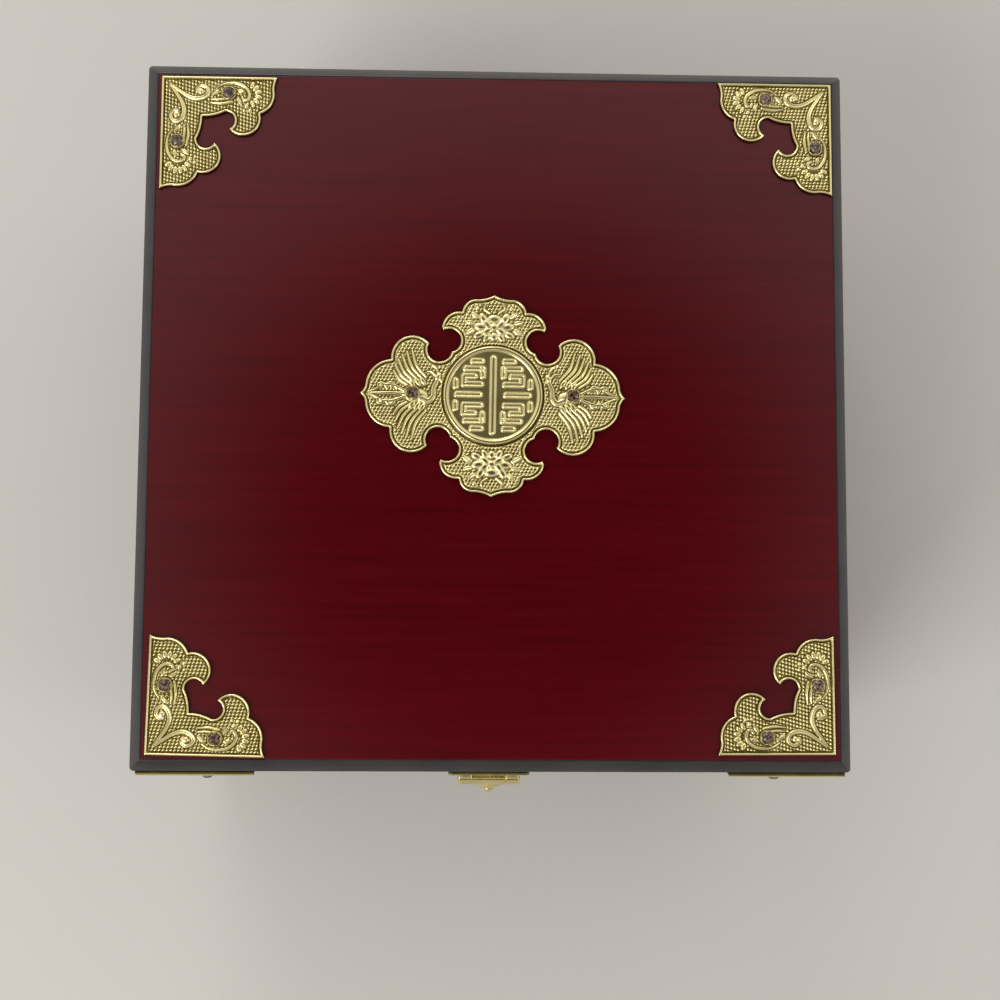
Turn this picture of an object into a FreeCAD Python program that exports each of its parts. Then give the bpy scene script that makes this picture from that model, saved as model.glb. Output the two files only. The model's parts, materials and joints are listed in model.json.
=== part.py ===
import FreeCAD, Part
import os
import re

import Sketcher

# A square wooden jewelry box: a hinged lid with a mirror inside, a clasp at the front and one
# drawer below. Sizes are in millimetres. X runs along the front from left to right, Y from the
# front to the back and Z up. The origin is on the floor, under the middle of the box.

V = FreeCAD.Vector
Turn = FreeCAD.Rotation
doc = FreeCAD.newDocument("jewelry_box")

# Driving dimensions. What stands proud of a face is measured from that face.
SIZES = {
    # outside of the box, and the gap that is left round a moving front
    "box_width": 250,
    "box_depth": 250,
    "corner_radius": 1.5,
    "reveal": 0.5,
    # heights of the layers, from the floor up
    "felt_thick": 1.5,
    "plinth_height": 12,
    "drawer_height": 47.5,
    "rail_height": 40,
    "skirt_height": 40,
    "edge_height": 8,
    # boards
    "wall": 9,
    "lid_wall": 8.4,
    "plinth_width": 14,
    "bottom_thick": 6,
    "floor_thick": 5,
    "felt_inset": 2,
    # black bevelled edge round the lid
    "edge_width": 4.5,
    "bevel_height": 4,
    # lining and dividers of the upper compartment
    "lining_thick": 2,
    "lip_height": 3,
    "card_thick": 1,
    "divider_thick": 3,
    "divider_height": 26,
    "ring_zone_depth": 93,
    "ring_zone_width": 130,
    "ring_rolls": 7,
    "roll_height": 20,
    "roll_gap": 0.4,
    # mirror under the lid
    "mirror_margin": 10.6,
    "mirror_thick": 3,
    "frame_width": 10,
    "frame_height": 6,
    "frame_lap": 2,
    "glass_clearance": 0.2,
    # hinges on the back, measured from the line of the pin
    "hinge_spacing": 150,
    "hinge_length": 30,
    "leaf_height": 16,
    "leaf_thick": 1.2,
    "leaf_start": 1,
    "barrel_radius": 2.6,
    "barrel_gap": 0.3,
    "knuckle_length": 9.8,
    "knuckle_gap": 0.2,
    "pin_radius": 1.2,
    "pin_clearance": 0.05,
    "pin_head_radius": 1.8,
    "pin_head_length": 0.8,
    "lug_reach": 3.9,
    "lug_thick": 1.2,
    "lug_root": 0.6,
    "lug_overhang": 1.6,
    "lug_gap": 0.15,
    "lid_lug_angle": 61,
    "case_lug_angle": -65,
    "screw_spacing": 10,
    "screw_height": 9.5,
    "screw_head_radius": 2.2,
    "screw_head_height": 1.1,
    "screw_radius": 1.1,
    "screw_length": 7,
    "screw_clearance": 0.05,
    # brass corner ornaments
    "corner_leg": 41,
    "corner_plate": 1,
    "corner_rise": 1.6,
    "rim_width": 0.9,
    "stone_along": 23.8,
    "stone_across": 6.1,
    "stone_radius": 2.1,
    "stone_girdle": 2.1,
    "stone_height": 3,
    "stone_table": 1.2,
    "cup_wall": 0.5,
    "cup_height": 2.2,
    "cup_clearance": 0.05,
    # how far each one was set in from the black edge, and turned, by hand
    "front_left_in_x": 1.2,
    "front_left_in_y": 1.1,
    "front_left_turn": -1.2,
    "front_right_in_x": 1.6,
    "front_right_in_y": 1.7,
    "front_right_turn": 0.3,
    "back_right_in_x": 0,
    "back_right_in_y": 0.1,
    "back_right_turn": 0,
    "back_left_in_x": 1.05,
    "back_left_in_y": 0.8,
    "back_left_turn": 0,
    "face_in_side": 1.8,
    "face_in_edge": 0.8,
    # brass medallion on the lid
    "medallion_width": 93.3,
    "medallion_depth": 71.6,
    "medallion_x": -0.8,
    "medallion_y": 5.8,
    "medallion_turn": -0.7,
    "medallion_stone_x": 28.2,
    "medallion_stone_y": 0.3,
    "disc_radius": 17.4,
    "disc_thick": 1.6,
    "disc_rim": 2,
    "disc_sink": 0.5,
    # clasp: lid plate, pin, tongue and the catch plate on the case
    "clasp_x": -1.2,
    "clasp_width": 28.4,
    "clasp_height": 34,
    "clasp_drop": 1.5,
    "plate_thick": 1.3,
    "hasp_drop": 6,
    "hasp_proud": 3.3,
    "hasp_barrel_radius": 1.75,
    "hasp_pin_radius": 0.9,
    "hasp_head_radius": 1.4,
    "hasp_head_length": 0.5,
    "hasp_knuckle": 4.6,
    "hasp_width": 11.4,
    "hasp_thick": 2.3,
    "hasp_gap": 0.3,
    "hasp_side_gap": 0.2,
    "hasp_length": 47,
    "neck_width": 6.4,
    "neck_length": 10,
    "boss_top": 2.4,
    "boss_length": 12,
    "boss_proud": 7.2,
    "boss_tip": 2,
    "knob_radius": 1.85,
    "knob_proud": 6.8,
    "catch_width": 24,
    "catch_height": 22,
    "catch_drop": 1.6,
    "cheek_thick": 1.6,
    "cheek_height": 7,
    "cheek_drop": 10,
    "cheek_proud": 4.3,
    "nail_radius": 0.6,
    "nail_head_radius": 1.3,
    "nail_head_height": 0.7,
    "nail_length": 6,
    "nail_clearance": 0.05,
    # drawer
    "drawer_side": 8,
    "drawer_space_behind": 12,
    "drawer_clearance": 0.5,
    "drawer_lift": 2,
    "drawer_side_height": 40,
    "drawer_bottom_thick": 3,
    "drawer_bottom_lift": 3,
    "groove_depth": 3,
    "groove_play": 0.1,
    "drawer_divider_height": 20,
    "drawer_divider_x": 30,
    "drawer_travel": 150,
    "stop_depth": 8,
    "stop_width": 24,
    "stop_height": 4,
    "stop_lap": 2,
    "runner_depth": 4,
    "runner_height": 6,
    "runner_lift": 16,
    "runner_setback": 5,
    "runner_play": 0.4,
    # drawer pull
    "pull_plate_width": 60,
    "pull_plate_height": 24,
    "pull_plate_rise": 9,
    "pull_lift": 31,
    "bolt_spacing": 38,
    "bolt_radius": 1.5,
    "bolt_flange_radius": 3.4,
    "bolt_flange_thick": 0.9,
    "bolt_ball_radius": 3,
    "bolt_clearance": 0.05,
    "bolt_end": 1,
    "nut_radius": 3.2,
    "nut_thick": 2,
    "bail_proud": 5.2,
    "bail_radius": 1.15,
    "bail_clearance": 0.05,
    "bail_width": 48,
    "bail_drop": 21,
    "bail_end": 2.6,
    "bail_bend": 2.5,
    "bail_sweep": 9,
    "grip_radius": 2.1,
    "grip_length": 22,
}

# Places that follow from the sizes.
PLACES = {
    "half_width": "box_width / 2",
    "half_depth": "box_depth / 2",
    "inside_x": "half_width - wall",
    "inside_y": "half_depth - wall",
    "lined_x": "inside_x - lining_thick",
    "lined_y": "inside_y - lining_thick",
    "lid_inside_x": "half_width - lid_wall",
    "lid_inside_y": "half_depth - lid_wall",
    "panel_x": "half_width - edge_width",
    "panel_y": "half_depth - edge_width",
    "case_low": "felt_thick + plinth_height",
    "drawer_low": "case_low + reveal",
    "drawer_high": "drawer_low + drawer_height",
    "rail_low": "drawer_high + reveal",
    "floor_top": "rail_low + floor_thick",
    "card_top": "floor_top + card_thick",
    "split": "rail_low + rail_height",
    "skirt_top": "split + skirt_height",
    "lid_top": "skirt_top + edge_height",
    "edge_low": "lid_top - bevel_height",
    "divider_top": "card_top + divider_height",
    "divider_front": "ring_zone_depth - lined_y",
    "divider_back": "divider_front + divider_thick",
    "ring_zone_side": "ring_zone_width - lined_x",
    "roll_pitch": "ring_zone_depth / ring_rolls",
    "roll_radius": "(roll_pitch - roll_gap) / 2",
    "frame_x": "lid_inside_x - mirror_margin",
    "frame_y": "lid_inside_y - mirror_margin",
    "mirror_x": "frame_x - frame_width + frame_lap",
    "mirror_y": "frame_y - frame_width + frame_lap",
    "mirror_low": "skirt_top - mirror_thick",
    "hinge_y": "half_depth + barrel_radius + barrel_gap",
    "bore_radius": "pin_radius + pin_clearance",
    "hasp_y": "-half_depth - hasp_proud",
    "hasp_z": "edge_low - hasp_drop",
    "hasp_bore": "hasp_pin_radius + pin_clearance",
    "hasp_back": "plate_thick + hasp_gap",
    "hasp_front": "hasp_back + hasp_thick",
    "hasp_shoulder": "hasp_z - hasp_length",
    "catch_top": "split - catch_drop",
    "cheek_x": "neck_width / 2 + hasp_side_gap",
    "cup_radius": "stone_radius + cup_clearance + cup_wall",
    "drawer_x": "inside_x - drawer_clearance",
    "drawer_box_low": "drawer_low + drawer_lift",
    "drawer_box_high": "drawer_box_low + drawer_side_height",
    "drawer_end": "inside_y - drawer_space_behind",
    "drawer_back_y": "drawer_end - drawer_side",
    "drawer_bottom_low": "drawer_box_low + drawer_bottom_lift",
    "drawer_bottom_top": "drawer_bottom_low + drawer_bottom_thick",
    "drawer_floor": "drawer_bottom_top + card_thick",
    "runner_low": "drawer_box_low + runner_lift",
    "runner_x": "inside_x - runner_depth",
    "stop_low": "rail_low - stop_height",
    "stop_back": "drawer_back_y - drawer_travel - runner_play",
    "pull_z": "drawer_low + pull_lift",
    "pull_y": "-half_depth - bail_proud",
}

# The half of the corner ornament's outline beside its lower leg, as shares of the leg: from
# the leg's tip, over two lobes and round a notch, to the inner corner. Each step is an arc
# through a point to an end, or a straight line where the point is None.
CORNER_START = (1.0, 0.0)
CORNER_HALF = [
    ((0.978, 0.059), (0.973, 0.122)),
    ((0.949, 0.251), (0.854, 0.327)),
    ((0.813, 0.479), (0.585, 0.463)),
    ((0.634, 0.380), (0.551, 0.310)),
    ((0.454, 0.346), (0.356, 0.356)),
]

# A quarter of the medallion's outline, as shares of half its width and half its depth: from
# the right tip, over two lobes, round a double notch and over two lobes to the back tip.
MEDALLION_START = (1.0, 0.0)
MEDALLION_QUARTER = [
    ((0.973, 0.036), (0.958, 0.092)),
    ((0.900, 0.260), (0.770, 0.338)),
    ((0.643, 0.573), (0.484, 0.506)),
    ((0.420, 0.327), (0.317, 0.425)),
    ((0.253, 0.575), (0.382, 0.634)),
    (None, (0.394, 0.670)),
    ((0.360, 0.771), (0.244, 0.827)),
    ((0.212, 0.913), (0.139, 0.955)),
    ((0.069, 0.964), (0.0, 1.0)),
]

# Half outlines of the three small plates, as shares of half the width and the whole height,
# from the middle of the top edge down to the middle of the lower edge.
CLASP_HALF = [
    (None, (0.93, 0.0)),
    ((1.00, -0.06), (0.93, -0.13)),
    ((0.80, -0.17), (0.82, -0.27)),
    ((0.98, -0.44), (0.72, -0.60)),
    ((0.56, -0.66), (0.58, -0.76)),
    ((0.36, -0.93), (0.0, -1.0)),
]
CATCH_HALF = [
    (None, (0.72, 0.0)),
    ((0.95, -0.10), (1.00, -0.33)),
    ((0.92, -0.55), (0.62, -0.64)),
    ((0.60, -0.86), (0.0, -1.0)),
]
PULL_HALF = [
    ((0.14, -0.10), (0.30, -0.06)),
    ((0.42, 0.02), (0.52, -0.12)),
    ((0.80, -0.06), (1.00, -0.42)),
    ((0.92, -0.72), (0.66, -0.72)),
    ((0.50, -0.72), (0.42, -0.84)),
    ((0.22, -0.88), (0.0, -1.0)),
]

SIDES = ("front", "right", "back", "left")
CORNERS = ("front_left", "front_right", "back_right", "back_left")
LEFT_AND_RIGHT = {"left": -1, "right": 1}
TOWARDS = {"x": V(1, 0, 0), "y": V(0, 1, 0), "z": V(0, 0, 1)}
nodes = []


def in_sheets(text, sheets):
    """The text of an expression with each known name given the sheet that holds it."""

    def full_name(match):
        for sheet, names in sheets.items():
            if match[0] in names:
                return f"{sheet}.{match[0]}"
        return match[0]

    return re.sub(r"[a-z]\w*", full_name, text)


def bound(text):
    return in_sheets(text, {"sizes": SIZES, "places": PLACES})


def fill_sheet(name, cells):
    """A sheet with a name in column A and its number or formula in column B."""
    sheet = doc.addObject("Spreadsheet::Sheet", name)
    for row, (alias, content) in enumerate(cells.items(), 1):
        sheet.set(f"A{row}", alias)
        sheet.set(f"B{row}", content)
        sheet.setAlias(f"B{row}", alias)
    doc.recompute()
    return sheet


size_sheet = fill_sheet("sizes", {name: str(value) for name, value in SIZES.items()})
place_sheet = fill_sheet(
    "places", {name: "=" + in_sheets(text, {"sizes": SIZES}) for name, text in PLACES.items()}
)


def number(name):
    """A size or place as a number."""
    return float((size_sheet if name in SIZES else place_sheet).get(name))


def keep(*items):
    """These objects are sub-parts, and each one's label is its name."""
    nodes.extend(items)


def seat(item, place, rotation=Turn()):
    """Turns the item and puts it at a place, given as three expressions."""
    item.Placement = FreeCAD.Placement(V(), rotation)
    for axis, text in zip("xyz", place):
        item.setExpression(f"Placement.Base.{axis}", bound(text))
    return item


def across(reach, middle="0"):
    """The pair of places that lie a distance to each side of a middle."""
    return f"{middle} - ({reach})", f"{middle} + ({reach})"


def on_side(hand, near, far, middle="0"):
    """The pair of places between two distances to the left (-1) or right (1) of a middle."""
    places = f"{middle} + {hand} * ({near})", f"{middle} + {hand} * ({far})"
    return places if hand > 0 else places[::-1]


def block(label, x, y, z):
    """A box between two places along each axis, given as pairs of expressions."""
    box = doc.addObject("Part::Box", label)
    for length, (low, high) in zip(("Length", "Width", "Height"), (x, y, z)):
        box.setExpression(length, bound(f"({high}) - ({low})"))
    return seat(box, (x[0], y[0], z[0]))


def rod(label, radius, length, start, axis="z"):
    """A cylinder that starts at a place and runs along an axis."""
    solid = doc.addObject("Part::Cylinder", label)
    solid.setExpression("Radius", bound(radius))
    solid.setExpression("Height", bound(length))
    return seat(solid, start, Turn(V(0, 0, 1), TOWARDS[axis]))


def ball(label, radius, centre):
    solid = doc.addObject("Part::Sphere", label)
    solid.setExpression("Radius", bound(radius))
    return seat(solid, centre)


def cone(label, low_radius, high_radius, height, start):
    solid = doc.addObject("Part::Cone", label)
    for name, text in (("Radius1", low_radius), ("Radius2", high_radius), ("Height", height)):
        solid.setExpression(name, bound(text))
    return seat(solid, start)


def fuse(label, *items):
    solid = doc.addObject("Part::MultiFuse", label)
    solid.Shapes = list(items)
    return solid


def cut(label, base, *tools):
    solid = doc.addObject("Part::Cut", label)
    solid.Base = base
    solid.Tool = tools[0] if len(tools) == 1 else group(f"{label}_tools", *tools)
    return solid


def common(label, base, tool):
    solid = doc.addObject("Part::Common", label)
    solid.Base = base
    solid.Tool = tool
    return solid


def group(label, *items):
    """Separate solids that share a name."""
    together = doc.addObject("Part::Compound", label)
    together.Links = list(items)
    return together


def copy_of(label, master, place, rotation=Turn()):
    return seat(group(label, master), place, rotation)


def extrusion(label, profile, height, low="0"):
    solid = doc.addObject("Part::Extrusion", label)
    solid.Base = profile
    solid.DirMode = "Normal"
    solid.Solid = True
    solid.setExpression("LengthFwd", bound(height))
    return seat(solid, ("0", "0", low))


def wedge(label, y, front, back):
    """A solid between two rectangles, each a pair of X places and a pair of Z places."""
    solid = doc.addObject("Part::Wedge", label)
    names = ("Xmin", "Xmax", "Zmin", "Zmax"), ("X2min", "X2max", "Z2min", "Z2max")
    for (x, z), (x_low, x_high, z_low, z_high) in zip((front, back), names):
        for name, text in ((x_low, x[0]), (x_high, x[1]), (z_low, z[0]), (z_high, z[1])):
            solid.setExpression(name, bound(text))
    solid.setExpression("Ymin", bound(y[0]))
    solid.setExpression("Ymax", bound(y[1]))
    return solid


def mitred_strip(label, side, box, width, low, high, bevel="0"):
    """One side of a mitred frame whose outer faces lie half_x and half_y from the middle.

    The strip is a wedge: its mitred ends close in by its width, and its top drops by the
    bevel towards the outer face.
    """
    half_x, half_y = box
    run, reach = (half_x, half_y) if side in ("front", "back") else (half_y, half_x)
    outer_face = (across(run), (low, f"{high} - ({bevel})"))
    inner_face = (across(f"{run} - ({width})"), (low, high))
    strip = wedge(label, (f"-({reach})", f"{width} - ({reach})"), outer_face, inner_face)
    strip.Placement = FreeCAD.Placement(V(), Turn(V(0, 0, 1), 90 * SIDES.index(side)))
    return strip


def mitred_frame(label, box, width, low, high):
    """Four mitred strips that share a name."""
    return group(
        label, *(mitred_strip(f"{label}_{side}", side, box, width, low, high) for side in SIDES)
    )


def new_sketch(body, label, plane):
    """A sketch on one of the body's own origin planes."""
    sketch = body.newObject("Sketcher::SketchObject", label)
    origin = next(item for item in body.Origin.OriginFeatures if item.Role == plane)
    sketch.AttachmentSupport = (origin, "")
    sketch.MapMode = "FlatFace"
    return sketch


def draw_polygon(sketch, corners):
    """Straight sides through corners, each pinned by two expressions from the origin."""
    count = len(corners)
    for index in range(count):
        sketch.addGeometry(Part.LineSegment(V(index, index**2), V(index + 1, (index + 1) ** 2)))
    for index in range(count):
        sketch.addConstraint(Sketcher.Constraint("Coincident", index, 2, (index + 1) % count, 1))
    for index, corner in enumerate(corners):
        for kind, text in zip(("DistanceX", "DistanceY"), corner):
            added = sketch.addConstraint(Sketcher.Constraint(kind, -1, 1, index, 1, 1.0))
            sketch.renameConstraint(added, f"{kind}{index}")
            sketch.setExpression(f"Constraints.{kind}{index}", bound(text))


def draw_steps(sketch, start, steps):
    """A chain of arcs through a point, and of straight lines where that is None."""
    point = start
    for via, end in steps:
        first, last = V(*point), V(*end)
        if via is None:
            sketch.addGeometry(Part.LineSegment(first, last))
        else:
            sketch.addGeometry(Part.Arc(first, V(*via), last))
        point = end


def scaled(steps, wide, high):
    """The same steps with each point multiplied by two scales."""
    return [
        (via and (via[0] * wide, via[1] * high), (end[0] * wide, end[1] * high))
        for via, end in steps
    ]


def reflected(start, steps, image):
    """The steps from the end back to the image of the start, each point put through image."""
    starts = [start, *(end for _, end in steps)]
    return [
        (via and image(via), image(begin))
        for begin, (via, _) in zip(reversed(starts[:-1]), reversed(steps))
    ]


def plate(label, width, height, half, place, thick):
    """A flat plate on the front face with the same half outline to each side of its middle.

    The place is that of the middle of its top edge, and the plate is padded towards the front.
    """
    body = doc.addObject("PartDesign::Body", label)
    sketch = new_sketch(body, f"{label}_outline", "XZ_Plane")
    steps = scaled(half, number(width) / 2, number(height))
    top = (0.0, 0.0)
    draw_steps(sketch, top, steps + reflected(top, steps, lambda point: (-point[0], point[1])))
    pad = body.newObject("PartDesign::Pad", f"{label}_pad")
    pad.Profile = sketch
    pad.setExpression("Length", bound(thick))
    return seat(body, place)


def turned(label, profile, place, rotation):
    """A turned piece: a profile of (radius, height) corners revolved round its own Z axis."""
    body = doc.addObject("PartDesign::Body", label)
    sketch = new_sketch(body, f"{label}_profile", "XZ_Plane")
    draw_polygon(sketch, profile)
    revolution = body.newObject("PartDesign::Revolution", f"{label}_turning")
    revolution.Profile = sketch
    revolution.ReferenceAxis = (sketch, ["V_Axis"])
    return seat(body, place, rotation)


def make_envelope():
    """The whole box's outer block, with its upright corners rounded, which trims the boards."""
    body = doc.addObject("PartDesign::Body", "envelope")
    sketch = new_sketch(body, "envelope_plan", "XY_Plane")
    corners = [(-1, -1), (1, -1), (1, 1), (-1, 1)]
    draw_polygon(sketch, [(f"{i} * half_width", f"{j} * half_depth") for i, j in corners])
    pad = body.newObject("PartDesign::Pad", "envelope_pad")
    pad.Profile = sketch
    pad.setExpression("Length", bound("lid_top"))
    doc.recompute()
    upright = [
        f"Edge{index}"
        for index, edge in enumerate(pad.Shape.Edges, 1)
        if edge.BoundBox.ZLength > number("lid_top") / 2
    ]
    fillet = body.newObject("PartDesign::Fillet", "envelope_corners")
    fillet.Base = (pad, upright)
    fillet.setExpression("Radius", bound("corner_radius"))
    return body


envelope = make_envelope()


def make_plinth():
    outside = ("half_width", "half_depth")
    strips = mitred_frame("plinth_strips", outside, "plinth_width", "felt_thick", "case_low")
    keep(common("plinth", strips, envelope))
    under_x, under_y = "half_width - plinth_width", "half_depth - plinth_width"
    board_z = ("felt_thick", "felt_thick + bottom_thick")
    keep(block("bottom_board", across(under_x), across(under_y), board_z))
    felt_x, felt_y = "half_width - felt_inset", "half_depth - felt_inset"
    keep(block("base_felt", across(felt_x), across(felt_y), ("0", "felt_thick")))


def make_case(hinge_holes, nail_holes):
    upright = ("case_low", "split")
    for side, hand in LEFT_AND_RIGHT.items():
        x = on_side(hand, "inside_x", "half_width")
        keep(block(f"side_{side}", x, across("inside_y"), upright))
    back = block("back_board", across("half_width"), ("inside_y", "half_depth"), upright)
    keep(cut("back_panel", common("back_trimmed", back, envelope), hinge_holes))
    front_y = ("-half_depth", "-inside_y")
    rail = block("rail_board", across("half_width"), front_y, ("rail_low", "split"))
    keep(cut("front_rail", common("rail_trimmed", rail, envelope), nail_holes))
    floor_z = ("rail_low", "floor_top")
    keep(block("compartment_floor", across("inside_x"), across("inside_y"), floor_z))


def make_lining():
    """Velvet-covered boards that stand proud of the case's rim, so that the lid drops round them,
    and a velvet-covered card on the floor between them."""
    height = ("floor_top", "split + lip_height")
    pieces = [
        block("lining_front", across("inside_x"), ("-inside_y", "-lined_y"), height),
        block("lining_back", across("inside_x"), ("lined_y", "inside_y"), height),
        block("lining_left", ("-inside_x", "-lined_x"), across("lined_y"), height),
        block("lining_right", ("lined_x", "inside_x"), across("lined_y"), height),
    ]
    keep(group("wall_linings", *pieces))
    keep(block("tray_floor_card", across("lined_x"), across("lined_y"), ("floor_top", "card_top")))


def make_dividers():
    height = ("card_top", "divider_top")
    front_x = ("ring_zone_side", "ring_zone_side + divider_thick")
    pieces = [
        block("divider_long", across("lined_x"), ("divider_front", "divider_back"), height),
        block("divider_front_short", front_x, ("-lined_y", "divider_front"), height),
        block("divider_back_short", across("divider_thick / 2"), ("divider_back", "lined_y"), height),
    ]
    keep(group("tray_dividers", *pieces))


def make_ring_rolls():
    """Soft rolls with rounded tops, side by side, so that a ring is held between two of them."""
    rolls = []
    x = ("roll_gap - lined_x", "ring_zone_side - roll_gap")
    length = f"({x[1]}) - ({x[0]})"
    crown = "card_top + roll_height - roll_radius"
    for index in range(int(number("ring_rolls"))):
        middle = f"({index} + 0.5) * roll_pitch - lined_y"
        y = (f"{middle} - roll_radius", f"{middle} + roll_radius")
        foot = block(f"roll_foot_{index}", x, y, ("card_top", crown))
        top = rod(f"roll_top_{index}", "roll_radius", length, (x[0], middle, crown), "x")
        rolls.append(fuse(f"roll_{index}", foot, top))
    keep(group("ring_cushion", *rolls))


def make_lid(hinge_holes, nail_holes):
    outside = ("half_width", "half_depth")
    for side in SIDES:
        board = mitred_strip(f"{side}_skirt_board", side, outside, "lid_wall", "split", "skirt_top")
        holes = {"back": hinge_holes, "front": nail_holes}.get(side)
        drilled = cut(f"{side}_skirt_drilled", board, holes) if holes else board
        keep(common(f"lid_skirt_{side}", drilled, envelope))
    for side in SIDES:
        strip = mitred_strip(
            f"{side}_edge_strip", side, outside, "edge_width", "skirt_top", "lid_top", "bevel_height"
        )
        keep(common(f"lid_edge_{side}", strip, envelope))
    keep(block("lid_top_panel", across("panel_x"), across("panel_y"), ("skirt_top", "lid_top")))


def make_mirror():
    keep(block("mirror", across("mirror_x"), across("mirror_y"), ("mirror_low", "skirt_top")))
    outside = ("frame_x", "frame_y")
    frame_low = "skirt_top - frame_height"
    frame = mitred_frame("frame_blank", outside, "frame_width", frame_low, "skirt_top")
    rebate_x, rebate_y = "mirror_x + glass_clearance", "mirror_y + glass_clearance"
    rebate = block("frame_rebate", across(rebate_x), across(rebate_y), ("mirror_low", "skirt_top"))
    keep(cut("mirror_frame", frame, rebate))
    around = ("lid_inside_x", "lid_inside_y")
    low = "skirt_top - card_thick"
    keep(mitred_frame("lid_lining_cards", around, "mirror_margin", low, "skirt_top"))


def hinge_x(hand):
    return f"{hand} * hinge_spacing / 2"


def screw_form(label, clearance="0"):
    """A countersunk wood screw that lies along its own Z axis, its flat head at the origin."""
    head = cone(
        f"{label}_head",
        f"screw_radius + {clearance}",
        f"screw_head_radius + {clearance}",
        "screw_head_height",
        ("0", "0", "-screw_head_height"),
    )
    length = f"screw_length + {clearance}"
    shank = rod(f"{label}_shank", f"screw_radius + {clearance}", length, ("0", "0", f"-({length})"))
    return fuse(label, head, shank)


def hinge_screws(label, master, above):
    """The screws of both hinges above or below the pin, their heads flush with the leaves."""
    sign = 1 if above else -1
    outwards = Turn(V(0, 0, 1), V(0, 1, 0))
    y = "half_depth + leaf_thick"
    placed = []
    for side, hand in LEFT_AND_RIGHT.items():
        for step, drop in ((-1, 0.5), (0, 0), (1, 0.5)):
            x = f"{hinge_x(hand)} + {step} * screw_spacing"
            z = f"split + {sign} * (screw_height + {drop} * leaf_start)"
            placed.append(copy_of(f"{label}_{side}_{step + 1}", master, (x, y, z), outwards))
    return group(label, *placed)


def stop_lug(label, angle, parts):
    """A lug that stands out of the barrel at an angle above the way to the back."""
    boxes = [
        block(f"{label}_{index}", x, (low, "lug_reach"), across("lug_thick / 2"))
        for index, (x, low) in enumerate(parts)
    ]
    upright = Turn(V(1, 0, 0), number(angle))
    return copy_of(label, fuse(f"{label}_solid", *boxes), ("0", "0", "0"), upright)


def make_hinges(lid_holes, case_holes, lid_screws, case_screws):
    """Two butt hinges on the back. The lid's knuckle turns between the case's two."""
    half = "hinge_length / 2"
    inner = "knuckle_length / 2"
    outer = "knuckle_length / 2 + knuckle_gap"
    leaf_y = ("-barrel_radius - barrel_gap", "leaf_thick - barrel_radius - barrel_gap")
    clear = "barrel_radius + barrel_gap"
    overhang = "knuckle_length / 2 + lug_overhang"

    def ring(label, radius, start, end):
        return rod(label, radius, f"({end}) - ({start})", (start, "0", "0"), "x")

    lid_leaf = block("lid_leaf_sheet", across(half), leaf_y, ("leaf_start", "leaf_height"))
    lid_notches = [
        ring("lid_notch_left", clear, f"-({half})", f"-({inner})"),
        ring("lid_notch_right", clear, inner, half),
    ]
    root, clear_root = "barrel_radius - lug_root", "barrel_radius + lug_gap"
    lid_lug_parts = [(across(inner), root), (across(overhang), clear_root)]
    lid_lug = stop_lug("lid_lug", "lid_lug_angle", lid_lug_parts)
    lid_knuckle = ring("lid_knuckle", "barrel_radius", f"-({inner})", inner)
    lid_sheet = cut("lid_leaf_notched", lid_leaf, *lid_notches)
    lid_solid = fuse("lid_leaf_solid", lid_sheet, lid_knuckle, lid_lug)

    case_leaf = block("case_leaf_sheet", across(half), leaf_y, ("-leaf_height", "-leaf_start"))
    case_notch = ring("case_notch", clear, f"-({outer})", outer)
    case_knuckles = [
        ring("case_knuckle_left", "barrel_radius", f"-({half})", f"-({outer})"),
        ring("case_knuckle_right", "barrel_radius", outer, half),
    ]
    lug_end = f"{outer} + 2 * lug_overhang"
    case_lug_parts = [(on_side(hand, outer, lug_end), root) for hand in LEFT_AND_RIGHT.values()]
    case_lug = stop_lug("case_lug", "case_lug_angle", case_lug_parts)
    case_sheet = cut("case_leaf_notched", case_leaf, case_notch)
    case_solid = fuse("case_leaf_solid", case_sheet, *case_knuckles, case_lug)

    bore = ring("hinge_bore", "bore_radius", f"-({half}) - 1", f"{half} + 1")
    for label, solid, holes in (("lid", lid_solid, lid_holes), ("case", case_solid, case_holes)):
        bored = cut(f"{label}_leaf_bored", solid, bore)
        pair = [
            copy_of(f"{label}_leaf_{side}", bored, (hinge_x(hand), "hinge_y", "split"))
            for side, hand in LEFT_AND_RIGHT.items()
        ]
        keep(cut(f"hinge_{label}_leaves", group(f"{label}_leaf_pair", *pair), holes))
    pins = []
    for side, hand in LEFT_AND_RIGHT.items():
        start = f"{hinge_x(hand)} - hinge_length / 2"
        pin = rod(f"pin_{side}", "pin_radius", "hinge_length", (start, "hinge_y", "split"), "x")
        heads = []
        for end, x in enumerate((f"{start} - pin_head_length", f"{start} + hinge_length")):
            at = (x, "hinge_y", "split")
            heads.append(rod(f"pin_head_{side}_{end}", "pin_head_radius", "pin_head_length", at, "x"))
        pins.append(fuse(f"hinge_pin_{side}", pin, *heads))
    keep(group("hinge_pins", *pins), lid_screws, case_screws)


def ornament_blank(label, outline):
    """A stamped plate on its own XY plane, sunk inside a raised rim that follows its outline."""
    inner = doc.addObject("Part::Offset2D", f"{label}_inner")
    inner.Source = outline
    inner.setExpression("Value", bound("-rim_width"))
    raised = extrusion(f"{label}_raised", outline, "corner_rise")
    sunk = extrusion(f"{label}_sunk", inner, "corner_rise", "corner_plate")
    return cut(f"{label}_sheet", raised, sunk)


def with_cups(label, sheet, seats):
    """The plate with a turned cup for a stone at each seat."""
    cups = [
        rod(f"{label}_cup_{index}", "cup_radius", "cup_height", (x, y, "0"))
        for index, (x, y) in enumerate(seats)
    ]
    bores = [
        rod(f"{label}_bore_{index}", "stone_radius + cup_clearance", "cup_height", (x, y, "corner_plate"))
        for index, (x, y) in enumerate(seats)
    ]
    return cut(label, fuse(f"{label}_solid", sheet, *cups), *bores)


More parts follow.
